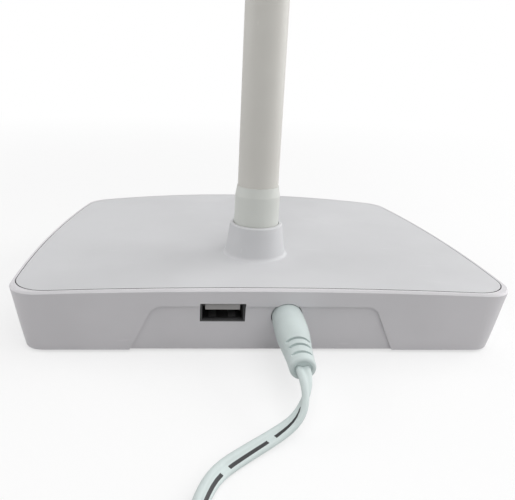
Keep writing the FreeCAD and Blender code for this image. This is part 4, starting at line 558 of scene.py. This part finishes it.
def new_finish(name, **sockets):
    """A new material, its tree, its shader and the object coordinates."""
    material = bpy.data.materials.new(name)
    material.use_nodes = True
    tree = material.node_tree
    shader = tree.nodes["Principled BSDF"]
    for key, value in sockets.items():
        shader.inputs[key.replace("_", " ")].default_value = value
    place = tree.nodes.new("ShaderNodeTexCoord").outputs["Object"]
    return material, tree, shader, place


def bumped(tree, shader, height, distance, strength=1.0):
    bump = grow(tree, "ShaderNodeBump", Strength=strength, Distance=distance, Height=height)
    tree.links.new(bump.outputs["Normal"], shader.inputs["Normal"])


def shade(tint, factor):
    return tuple(min(1.0, c * factor) for c in tint)


def two_shades(tree, share, tint, shades):
    """A colour that varies between two shades of one tint."""
    return mix_colour(tree, share, shade(tint, shades[0]), shade(tint, shades[1]))


def plastic(name, tint, grain=2600.0, depth=0.000012, rough=(0.42, 0.55), drift=0.05, dust=0.35, **sockets):
    """Moulded plastic with spark-eroded grain, rubbed patches and a little dust."""
    material, tree, shader, place = new_finish(name, **sockets)
    skin = use_group(tree, "grain", place, Grain_Scale=grain)
    marks = use_group(tree, "marks", place)
    fall = use_group(tree, "dust", place)
    base = two_shades(tree, skin["Drift"], tint, (1 - drift, 1 + drift / 2))
    scratched = math_node(tree, "MULTIPLY", marks["Scratch"], SCRATCH_SHARE)
    worn = mix_colour(tree, scratched, base, shade(tint, SCRATCH_PALE))
    dirty = mix_colour(tree, math_node(tree, "MULTIPLY", fall["Speck"], dust), worn, DUST_COLOUR)
    tree.links.new(dirty, shader.inputs["Base Color"])
    gloss = ramp(tree, marks["Rub"], 0.0, 1.0, *reversed(rough))
    dull = math_node(tree, "MULTIPLY_ADD", fall["Dust"], DUST_ROUGHNESS, gloss)
    tree.links.new(dull, shader.inputs["Roughness"])
    bumped(tree, shader, skin["Height"], depth)
    return material


def add_painted_shade(material, mask, tint):
    """Paints shade onto a finish: another colour where the mask is one."""
    tree = material.node_tree
    socket = tree.nodes["Principled BSDF"].inputs["Base Color"]
    tree.links.new(mix_colour(tree, mask, socket.links[0].from_socket, tint), socket)
    return material


def lid_plastic(settings):
    """The lid's plastic, with painted shade on the upright edge that lies in the seam, strongest at the
    rear.
    """
    finish = settings.finish
    material = plastic("Lid plastic", finish.cover)
    tree = material.node_tree
    place = split(tree, tree.nodes["Texture Coordinate"].outputs["Object"])
    facing = facing_way(tree)
    upright = ramp(tree, facing["Z"], *SEAM_UPRIGHT)
    low = ramp(tree, place["Z"], finish.seam_height, finish.seam_height - finish.seam_blend)
    rear = ramp(tree, facing["Y"], *SEAM_REAR)
    shadow = math_node(tree, "MULTIPLY", math_node(tree, "MULTIPLY", upright, low), rear)
    return add_painted_shade(material, shadow, finish.seam)


def tray_plastic(settings):
    """The tray's plastic, with painted shade on the sides of the outlet's cut-out."""
    finish = settings.finish
    material = plastic("Tray plastic", finish.tray)
    tree = material.node_tree
    place = split(tree, tree.nodes["Texture Coordinate"].outputs["Object"])
    low, high = corners("usb_shell")
    centre, half = (low + high) / 2, (high - low) / 2
    # The mask below places painted shade round the outlet's shell
    shadow = 1.0
    for axis, name in enumerate("XYZ"):
        if name == "Y":
            continue
        off = math_node(tree, "ABSOLUTE", math_node(tree, "SUBTRACT", place[name], centre[axis]))
        within = ramp(tree, off, half[axis] + finish.cutout_play, half[axis] + finish.cutout_dark)
        shadow = math_node(tree, "MULTIPLY", within, shadow)
    return add_painted_shade(material, shadow, finish.seam)


def metal(name, tint, rough=(0.22, 0.38), stretch=(1, 1, 12), lines=900.0, depth=0.00002, **sockets):
    """Metal with fine drawn lines and handling marks."""
    material, tree, shader, place = new_finish(name, Metallic=1.0, **sockets)
    drawn = use_group(tree, "drawn", place, Stretch=stretch, Line_Scale=lines)
    marks = use_group(tree, "marks", place)
    base = two_shades(tree, drawn["Streak"], tint, STREAK_SHADES)
    rub = math_node(tree, "MULTIPLY", marks["Rub"], METAL_RUB_SHARE)
    rubbed = mix_colour(tree, rub, base, shade(tint, METAL_RUB_SHADE))
    tree.links.new(rubbed, shader.inputs["Base Color"])
    tree.links.new(ramp(tree, marks["Rub"], 0.0, 1.0, *rough), shader.inputs["Roughness"])
    bumped(tree, shader, drawn["Height"], depth)
    return material


def lead_vinyl(name, settings, printed):
    """Soft vinyl, with dashes printed along the lower wire of the lead."""
    finish, lead = settings.finish, settings.lead
    material, tree, shader, place = new_finish(name, Specular_IOR_Level=0.45, Subsurface_Weight=0.0)
    skin = use_group(tree, "grain", place, Grain_Scale=1900.0, Drift_Scale=60.0)
    marks = use_group(tree, "marks", place, Patch_Scale=90.0)
    base = two_shades(tree, skin["Drift"], finish.lead, LEAD_SHADES)
    if printed:
        along, across, facing = (
            grow(tree, "ShaderNodeAttribute", {"attribute_name": name}).outputs["Fac"]
            for name in LEAD_ATTRIBUTES
        )
        from_first = math_node(tree, "SUBTRACT", along, lead.dash_start)
        place_in_pitch = math_node(tree, "FLOORED_MODULO", from_first, lead.dash_pitch)
        inside = math_node(tree, "LESS_THAN", place_in_pitch, lead.dash_length)
        ink = math_node(tree, "MULTIPLY", inside, math_node(tree, "GREATER_THAN", from_first, 0.0))
        for band in (
            ramp(tree, across, lead.dash_low - INK_BLEED, lead.dash_low + INK_BLEED),
            ramp(tree, across, lead.dash_high + INK_BLEED, lead.dash_high - INK_BLEED),
            math_node(tree, "LESS_THAN", facing, 0.0),
            ramp(tree, noise(tree, place, INK_SCALE, 2.0), *INK_WEAR),
        ):
            ink = math_node(tree, "MULTIPLY", ink, band)
        base = mix_colour(tree, ink, base, finish.dash)
    tree.links.new(base, shader.inputs["Base Color"])
    tree.links.new(ramp(tree, marks["Rub"], 0.0, 1.0, *LEAD_ROUGH), shader.inputs["Roughness"])
    bumped(tree, shader, skin["Height"], LEAD_DEPTH)
    return material


def opal(name):
    """Milky diffuser with fine prisms along its length."""
    material, tree, shader, place = new_finish(name, Specular_IOR_Level=0.5, Subsurface_Weight=0.0)
    skin = use_group(tree, "grain", place, Grain_Scale=1200.0, Drift_Scale=40.0)
    marks = use_group(tree, "marks", place)
    tree.links.new(mix_colour(tree, skin["Drift"], *OPAL_COLOURS), shader.inputs["Base Color"])
    tree.links.new(ramp(tree, marks["Rub"], 0.0, 1.0, *OPAL_ROUGH), shader.inputs["Roughness"])
    prism = grow(tree, "ShaderNodeTexWave", {"bands_direction": "X"}, Vector=place, Scale=PRISM_SCALE)
    bumped(tree, shader, prism.outputs["Fac"], PRISM_DEPTH, PRISM_STRENGTH)
    return material


def laminate(name, tint, silk):
    """Solder resist over copper tracks."""
    material, tree, shader, place = new_finish(name, Coat_Weight=0.3, Coat_Roughness=0.2)
    cells = grow(tree, "ShaderNodeTexBrick", Vector=place, Scale=TRACK_SCALE, Mortar_Size=TRACK_LINE)
    skin = use_group(tree, "grain", place, Grain_Scale=1500.0, Drift_Scale=80.0)
    tracks = math_node(tree, "MULTIPLY", cells.outputs["Fac"], TRACK_SHARE)
    base = two_shades(tree, skin["Drift"], tint, RESIST_SHADES)
    tree.links.new(mix_colour(tree, tracks, base, silk), shader.inputs["Base Color"])
    tree.links.new(ramp(tree, skin["Drift"], 0.0, 1.0, *RESIST_ROUGH), shader.inputs["Roughness"])
    bumped(tree, shader, cells.outputs["Fac"], TRACK_DEPTH)
    return material


def build_finishes(settings):
    """Every finish by the record's slot name."""
    tints = settings.finish
    build_groups()
    return {
        "tray_plastic": tray_plastic(settings),
        "cover_plastic": lid_plastic(settings),
        "head_plastic": plastic("Head plastic", tints.head),
        "sleeve_plastic": plastic("Sleeve plastic", tints.sleeve, rough=(0.38, 0.5)),
        "stem_paint": plastic(
            "Stem powder coat", tints.stem, grain=1500.0, depth=0.000014, rough=(0.34, 0.46), dust=0.15
        ),
        "button_plastic": plastic("Button plastic", tints.button, grain=3200.0, rough=(0.3, 0.45)),
        "adapter_plastic": plastic("Adapter plastic", tints.adapter, grain=2200.0, rough=(0.32, 0.46)),
        "slip_plastic": plastic("Slip washer", (0.80, 0.79, 0.75), rough=(0.3, 0.4), dust=0.0),
        "component_black": plastic("Moulded epoxy", (0.035, 0.035, 0.04), rough=(0.4, 0.55), dust=0.2),
        "usb_tongue": plastic("Outlet tongue", (0.46, 0.445, 0.44), rough=(0.35, 0.5), dust=0.1),
        "pad_rubber": plastic(
            "Pad rubber", (0.045, 0.045, 0.05), grain=900.0, depth=0.00012, rough=(0.7, 0.85), drift=0.2
        ),
        "wire_vinyl": plastic("Cable sheath", (0.55, 0.035, 0.03), grain=1500.0, rough=(0.35, 0.5)),
        "led_resin": plastic("Phosphor resin", (0.85, 0.62, 0.12), rough=(0.25, 0.35), dust=0.0),
        "steel": metal("Plated steel", (0.56, 0.56, 0.58)),
        "weight_steel": metal(
            "Oiled plate", (0.16, 0.165, 0.175), rough=(0.45, 0.62), stretch=(10, 1, 1), lines=500.0
        ),
        "usb_steel": metal("Nickel plate", (0.66, 0.66, 0.67), rough=(0.16, 0.3), stretch=(1, 9, 1)),
        "contact_gold": metal("Gold flash", (0.83, 0.56, 0.20), rough=(0.18, 0.3)),
        "hinge_cast": metal("Die casting", (0.52, 0.52, 0.53), rough=(0.42, 0.58), stretch=(1, 1, 1)),
        "board_laminate": laminate("Board laminate", (0.02, 0.13, 0.05), (0.10, 0.32, 0.14)),
        "light_board_white": laminate("Light board", (0.74, 0.75, 0.74), (0.82, 0.83, 0.82)),
        "diffuser_opal": opal("Opal diffuser"),
        "lead_vinyl": lead_vinyl("Lead vinyl", settings, False),
    }


# Operators


class LampOperator:
    """What the lamp's operators share."""

    bl_options = {"REGISTER", "UNDO"}


class OBJECT_OT_lamp_stage(LampOperator, Operator):
    """Builds the camera, the floor and the lights"""

    bl_idname = "object.lamp_stage"
    bl_label = "Stage"

    def execute(self, context):
        stage = context.scene.desk_lamp.stage
        scene = context.scene
        camera = bpy.data.objects.new("Photo camera", bpy.data.cameras.new("Photo camera"))
        camera.data.sensor_width = stage.camera_sensor
        camera.data.lens = stage.camera_lens
        camera.data.shift_x = stage.camera_shift
        camera.data.clip_start, camera.data.clip_end = stage.camera_near, stage.camera_far
        turn = (
            Matrix.Rotation(stage.camera_heading, 4, "Z")
            @ Matrix.Rotation(math.pi / 2 - stage.camera_pitch, 4, "X")
            @ Matrix.Rotation(stage.camera_roll, 4, "Z")
        )
        camera.matrix_world = Matrix.Translation(stage.camera_place) @ turn
        scene.collection.objects.link(camera)
        scene.camera = camera

        work = bmesh.new()
        bmesh.ops.create_grid(work, x_segments=1, y_segments=1, size=stage.floor_size / 2)
        floor = keep_mesh(work, "floor", None)
        floor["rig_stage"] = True
        floor.data.materials.append(self.floor_finish(stage))
        for name in ("key", "top", "right", "left"):
            self.light(stage, name)

        world = bpy.data.worlds.new("Pale room")
        world.use_nodes = True
        tree = world.node_tree
        tree.nodes.clear()
        room = grow(tree, "ShaderNodeBackground", Color=(1, 1, 1, 1), Strength=stage.sky_level)
        seen = grow(tree, "ShaderNodeBackground", Color=(1, 1, 1, 1), Strength=1.0)
        both = tree.nodes.new("ShaderNodeMixShader")
        tree.links.new(self.seen_by_eye(tree), both.inputs[0])
        tree.links.new(room.outputs[0], both.inputs[1])
        tree.links.new(seen.outputs[0], both.inputs[2])
        out = tree.nodes.new("ShaderNodeOutputWorld")
        tree.links.new(both.outputs[0], out.inputs[0])
        scene.world = world
        scene.view_settings.view_transform = "Standard"
        return {"FINISHED"}

    def seen_by_eye(self, tree):
        """One where the camera, a reflection or glass looks at a surface."""
        path = tree.nodes.new("ShaderNodeLightPath")
        either = math_node(tree, "MAXIMUM", path.outputs["Is Camera Ray"], path.outputs["Is Glossy Ray"])
        return math_node(tree, "MAXIMUM", either, path.outputs["Is Transmission Ray"])

    def floor_finish(self, stage):
        """A pale floor that holds the shadow near the lamp and fades to the white of the room."""
        material, tree, shader, place = new_finish("Floor", Roughness=0.9, Specular_IOR_Level=0.1)
        eye = self.seen_by_eye(tree)
        thrown = (stage.floor_bounce,) * 3
        tree.links.new(mix_colour(tree, eye, thrown, stage.floor_colour), shader.inputs["Base Color"])
        away = grow(tree, "ShaderNodeVectorMath", {"operation": "LENGTH"})
        tree.links.new(place, away.inputs[0])
        fade = ramp(tree, away.outputs["Value"], stage.floor_near, stage.floor_far, stage.floor_pale, 1.0)
        white = grow(tree, "ShaderNodeEmission", Color=(1, 1, 1, 1), Strength=1.0)
        both = tree.nodes.new("ShaderNodeMixShader")
        tree.links.new(math_node(tree, "MULTIPLY", fade, eye), both.inputs[0])
        tree.links.new(shader.outputs[0], both.inputs[1])
        tree.links.new(white.outputs[0], both.inputs[2])
        tree.links.new(both.outputs[0], tree.nodes["Material Output"].inputs["Surface"])
        return material

    def light(self, stage, name):
        """One of the square lights, turned to the lamp."""
        lamp = bpy.data.lights.new(f"{name.capitalize()} light", "AREA")
        lamp.size, lamp.energy = getattr(stage, f"{name}_size"), getattr(stage, f"{name}_power")
        made = bpy.data.objects.new(lamp.name, lamp)
        made.location = getattr(stage, f"{name}_place")
        made.rotation_mode = "QUATERNION"
        made.rotation_quaternion = (Vector(stage.light_aim) - made.location).to_track_quat("-Z", "Y")
        bpy.context.scene.collection.objects.link(made)


class OBJECT_OT_lamp_lead(LampOperator, Operator):
    """Lays the flat twin lead from the plug to the adapter, with its coil"""

    bl_idname = "object.lamp_lead"
    bl_label = "Flat lead"

    def route(self, lead):
        """The lead's control points, from the plug through the coil to the adapter."""
        droop = lead.plug_droop
        start = Vector(lead.plug_end)
        away = Vector((0, math.cos(droop), -math.sin(droop)))
        points = [start, start + away * lead.width] + [Vector(at) for at in LEAD_ROUTE]
        total = lead.turns_in + lead.turns_up + lead.turns_out
        centre = Vector((lead.coil_x, lead.coil_y, LEAD_ROUTE[-1][2]))
        count = round(total * lead.stops_per_turn)
        points.append(centre + Vector((lead.coil_outer, -lead.width, 0)))
        points += [self.coil_point(lead, centre, i * total / count) for i in range(count + 1)]
        points.append(centre + Vector((-lead.width, lead.coil_outer, lead.coil_layer)))
        points += [Vector(at) for at in TAIL_ROUTE] + [Vector(lead.tip_place)]
        return points

    def coil_point(self, lead, centre, turns):
        """A point of the coil: in along the lower layer, up, and out along the upper one."""
        outer, inner, layer = lead.coil_outer, lead.coil_inner, lead.coil_layer
        if turns <= lead.turns_in:
            radius, rise = outer + (inner - outer) * turns / lead.turns_in, 0
        elif turns <= lead.turns_in + lead.turns_up:
            share = (turns - lead.turns_in) / lead.turns_up
            radius = inner - lead.coil_dip * math.sin(math.pi * share) ** 2
            rise = layer * (1 - math.cos(math.pi * share)) / 2
        else:
            share = (turns - lead.turns_in - lead.turns_up) / lead.turns_out
            radius, rise = inner + (outer - inner) * share, layer
        around = math.tau * turns
        return centre + Vector((radius * math.cos(around), radius * math.sin(around), rise))

    def section(self, lead):
        """The lead's section: two round wires, one above the other, and the web between them."""
        radius, apart = lead.wire_radius, lead.width / 2 - lead.wire_radius
        meet = math.asin(lead.web / radius)
        steps = lead.wire_steps
        shape = []
        for side in (1, -1):
            for i in range(steps):
                around = side * math.pi / 2 - math.pi + meet + (2 * math.pi - 2 * meet) * (i + 0.5) / steps
                shape.append((radius * math.cos(around), side * apart + radius * math.sin(around)))
        curve = bpy.data.curves.new("Lead section", "CURVE")
        curve.dimensions = "2D"
        spline = curve.splines.new("POLY")
        spline.points.add(len(shape) - 1)
        for point, (x, y) in zip(spline.points, shape):
            point.co = (x, y, 0, 1)
        spline.use_cyclic_u = True
        return bpy.data.objects.new("Lead section", curve), shape

    def execute(self, context):
        lead = context.scene.desk_lamp.lead
        points = self.route(lead)
        curve = bpy.data.curves.new("Lead line", "CURVE")
        curve.dimensions = "3D"
        curve.twist_mode = "Z_UP"
        curve.resolution_u = 4
        spline = curve.splines.new("NURBS")
        spline.points.add(len(points) - 1)
        for i, (point, at) in enumerate(zip(spline.points, points)):
            point.co = (*at, 1)
            point.tilt = math.radians(LEAD_TURNS[i]) if i < len(LEAD_TURNS) else 0
        spline.order_u = 3
        spline.use_endpoint_u = True
        maker = bpy.data.objects.new("Lead maker", curve)
        context.scene.collection.objects.link(maker)
        line = bpy.data.meshes.new_from_object(maker)
        path = [v.co.copy() for v in line.vertices]
        section, shape = self.section(lead)
        context.scene.collection.objects.link(section)
        curve.bevel_mode = "OBJECT"
        curve.bevel_object = section
        curve.use_fill_caps = True
        context.view_layer.update()
        made = maker.evaluated_get(context.evaluated_depsgraph_get())
        data = bpy.data.meshes.new_from_object(made)
        for helper in (maker, section):
            bpy.data.objects.remove(helper)
        reached = [0.0]
        for before, after in zip(path, path[1:]):
            reached.append(reached[-1] + (after - before).length)
        kept = [data.attributes.new(name, "FLOAT", "POINT").name for name in LEAD_ATTRIBUTES]
        along, across, facing = (data.attributes[name].data for name in kept)
        for i in range(len(data.vertices)):
            ring, step = divmod(i, len(shape))
            thick, wide = shape[step]
            along[i].value = reached[min(ring, len(path) - 1)]
            across[i].value = wide / (lead.width / 2)
            facing[i].value = thick / lead.wire_radius
        data.name = "lead_flex"
        data.shade_smooth()
        flex = put_in_scene("lead_flex", data, "root", "lead_vinyl")
        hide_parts("power_cord", "cord_coil", "cord_tail")
        return {"FINISHED"}


class OBJECT_OT_lamp_controls(LampOperator, Operator):
    """Marks the button and the rocker, and fits the button's trim ring and the indicator's lens"""

    bl_idname = "object.lamp_controls"
    bl_label = "Controls"

    def execute(self, context):
        detail = context.scene.desk_lamp.detail
        self.power_mark(detail)
        self.rocker_signs(detail)
        self.trim_ring(detail)
        self.lens(detail)
        return {"FINISHED"}

    def power_mark(self, detail):
        """An open ring with a bar in its gap."""
        button = middle("power_button")
        work = bmesh.new()
        inner, outer = (detail.power_radius + side * detail.power_line / 2 for side in (-1, 1))
        ends = [work.verts.new(button + Vector((0, radius, 0))) for radius in (inner, outer)]
        line = work.edges.new(ends)
        turn = Matrix.Rotation(detail.power_gap / 2, 3, "Z")
        bmesh.ops.rotate(work, cent=button, matrix=turn, verts=ends)
        bmesh.ops.spin(
            work,
            geom=[*ends, line],
            cent=button,
            axis=(0, 0, 1),
            angle=math.tau - detail.power_gap,
            steps=detail.power_steps,
        )
        bar = button + Vector((0, detail.power_radius * detail.power_bar_place, 0))
        flat_bar(work, bar, detail.power_line, detail.power_radius * detail.power_bar)
        raise_marks(work, frame["nodes"]["power_button"], detail.mark_sunk, detail.mark_height)
        keep_mesh(work, "power_mark", "button", "button_plastic")

    def rocker_signs(self, detail):
        """A plus at one end of the rocker and a minus at the other."""
        low, high = corners("dim_rocker")
        work = bmesh.new()
        plus = Vector((0, low.y + detail.sign_inset, high.z))
        minus = Vector((0, high.y - detail.sign_inset, high.z))
        for centre in (plus, minus):
            flat_bar(work, centre, detail.sign_length, detail.sign_line)
        arm = (detail.sign_length - detail.sign_line) / 2
        for side in (-1, 1):
            centre = plus + Vector((0, side * (arm + detail.sign_line) / 2, 0))
            flat_bar(work, centre, detail.sign_line, arm)
        raise_marks(work, frame["nodes"]["dim_rocker"], detail.mark_sunk, detail.mark_height)
        keep_mesh(work, "rocker_signs", "rocker", "button_plastic")

    def trim_ring(self, detail):
        """A bright ring round the button's hole."""
        button = middle("power_button")
        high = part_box("head_shell")[1][2]
        radius = detail.button_radius + detail.trim_gap
        work = bmesh.new()
        ring = bmesh.ops.create_circle(work, segments=detail.trim_sides, radius=detail.trim_radius)["verts"]
        bmesh.ops.rotate(work, cent=(0, 0, 0), matrix=Matrix.Rotation(math.pi / 2, 3, "X"), verts=ring)
        bmesh.ops.translate(work, vec=(button.x + radius, button.y, high), verts=ring)
        bmesh.ops.spin(
            work,
            geom=work.verts[:] + work.edges[:],
            cent=(button.x, button.y, high),
            axis=(0, 0, 1),
            angle=math.tau,
            steps=detail.trim_steps,
            use_merge=True,
        )
        keep_mesh(work, "button_trim", "head", "steel")

    def lens(self, detail):
        """The small lens of the indicator, half sunk in the shell."""
        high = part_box("head_shell")[1][2]
        work = bmesh.new()
        steps = detail.lens_steps
        dome = bmesh.ops.create_uvsphere(
            work, u_segments=steps, v_segments=steps // 2, radius=detail.lens_radius
        )["verts"]
        bmesh.ops.scale(work, vec=(1, 1, detail.lens_flat), verts=dome)
        bmesh.ops.translate(work, vec=(0, detail.lens_y, high), verts=dome)
        keep_mesh(work, "indicator_lens", "head", "diffuser_opal")


class OBJECT_OT_lamp_outlet_springs(LampOperator, Operator):
    """Bends the two springs in the floor of the outlet's shell"""

    bl_idname = "object.lamp_outlet_springs"
    bl_label = "Outlet springs"

    def execute(self, context):
        detail = context.scene.desk_lamp.detail
        low, high = corners("usb_shell")
        contacts = middle("usb_contacts")
        work = bmesh.new()
        for side in (-1, 1):
            strip = bmesh.ops.create_grid(
                work, x_segments=detail.spring_squares, y_segments=detail.spring_steps, size=0.5
            )["verts"]
            for vertex in strip:
                vertex.co.z = math.sin(math.pi * (vertex.co.y + 0.5)) * detail.spring_rise
            bmesh.ops.scale(work, vec=(detail.spring_width, detail.spring_length, 1), verts=strip)
            place = (
                contacts.x + side * detail.spring_width * detail.spring_spread,
                high.y - detail.spring_sunk - detail.spring_length / 2,
                low.z + detail.outlet_lip + detail.spring_sheet / 2,
            )
            bmesh.ops.translate(work, vec=place, verts=strip)
        bmesh.ops.recalc_face_normals(work, faces=work.faces)
        bmesh.ops.solidify(work, geom=work.faces[:], thickness=detail.spring_sheet)
        keep_mesh(work, "outlet_springs", "root", "usb_steel")
        return {"FINISHED"}


class OBJECT_OT_lamp_adapter_ridges(LampOperator, Operator):
    """Puts finger ridges on two sides of the mains adapter"""

    bl_idname = "object.lamp_adapter_ridges"
    bl_label = "Adapter ridges"

    def execute(self, context):
        detail = context.scene.desk_lamp.detail
        low, high = corners("adapter_case")
        centre = (low + high) / 2
        height = low.z + (high.z - low.z) * detail.ridge_place
        work = bmesh.new()
        for side in (low.y, high.y):
            for i in range(detail.ridge_count):
                x = centre.x + (i - (detail.ridge_count - 1) / 2) * detail.ridge_pitch
                ridge = bmesh.ops.create_cube(work, size=1)["verts"]
                size = (detail.ridge_width, 2 * detail.ridge_proud, detail.ridge_height)
                bmesh.ops.scale(work, vec=size, verts=ridge)
                bmesh.ops.translate(work, vec=(x, side, height), verts=ridge)
        bmesh.ops.bevel(
            work,
            geom=work.edges[:],
            offset=detail.ridge_width * detail.ridge_round,
            segments=detail.ridge_bends,
            profile=0.5,
            affect="EDGES",
            material=-1,
        )
        keep_mesh(work, "adapter_ridges", "root", "adapter_plastic")
        return {"FINISHED"}


class OBJECT_OT_lamp_finishes(LampOperator, Operator):
    """Gives every piece its finish"""

    bl_idname = "object.lamp_finishes"
    bl_label = "Finishes"

    def execute(self, context):
        settings = context.scene.desk_lamp
        made = build_finishes(settings)
        marks = plastic("Printed marks", settings.finish.mark, grain=3200.0, rough=(0.4, 0.5), dust=0.0)
        own = {
            "power_mark": marks,
            "rocker_signs": marks,
            "indicator_lens": plastic("Indicator lens", (0.30, 0.42, 0.30), rough=(0.12, 0.2), dust=0.0),
            "lead_flex": lead_vinyl("Printed lead vinyl", settings, True),
            # The outlet's shell, springs and contacts are far darker than their metals: painted shade inside
            # the outlet
            "usb_shell": metal(
                "Dark nickel plate", (0.085, 0.085, 0.087), rough=(0.45, 0.58), stretch=(1, 9, 1)
            ),
            "outlet_springs": metal(
                "Shaded springs", (0.16, 0.16, 0.165), rough=(0.45, 0.6), stretch=(1, 9, 1)
            ),
            "usb_contacts": metal("Shaded contacts", (0.07, 0.055, 0.035), rough=(0.5, 0.6)),
            "dc_jack": plastic("Jack plastic", (0.20, 0.205, 0.21), rough=(0.4, 0.5), dust=0.0),
        }
        slots = {row["node"]: row["material_slot"] for row in frame["record"]["subparts"]}
        for name, item in frame["nodes"].items():
            item.data.materials.clear()
            item.data.materials.append(own.get(name) or made[slots[name]])
        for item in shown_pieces():
            if item.name in frame["nodes"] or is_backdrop(item):
                continue
            item.data.materials.clear()
            item.data.materials.append(own.get(item.name) or made[item["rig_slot"]])
        return {"FINISHED"}


class VIEW3D_PT_desk_lamp(Panel):
    """Lists the lamp's steps"""

    bl_label = "Desk Lamp"
    bl_idname = "VIEW3D_PT_desk_lamp"
    bl_space_type = "VIEW_3D"
    bl_region_type = "UI"
    bl_category = "Desk Lamp"

    def draw(self, context):
        for step in STEPS:
            self.layout.operator(step.bl_idname)


STEPS = (
    OBJECT_OT_lamp_stage,
    OBJECT_OT_lamp_lead,
    OBJECT_OT_lamp_controls,
    OBJECT_OT_lamp_outlet_springs,
    OBJECT_OT_lamp_adapter_ridges,
    OBJECT_OT_lamp_finishes,
)
SETTINGS = (LampStageSettings, LampLeadSettings, LampDetailSettings, LampFinishSettings, LampSettings)


def register():
    for kind in (*SETTINGS, *STEPS, VIEW3D_PT_desk_lamp):
        bpy.utils.register_class(kind)
    bpy.types.Scene.desk_lamp = PointerProperty(type=LampSettings)


def unregister():
    del bpy.types.Scene.desk_lamp
    for kind in reversed((*SETTINGS, *STEPS, VIEW3D_PT_desk_lamp)):
        bpy.utils.unregister_class(kind)


def main():
    register()
    for step in STEPS:
        group, name = step.bl_idname.split(".")
        getattr(getattr(bpy.ops, group), name)()


if __name__ == "__main__":
    main()
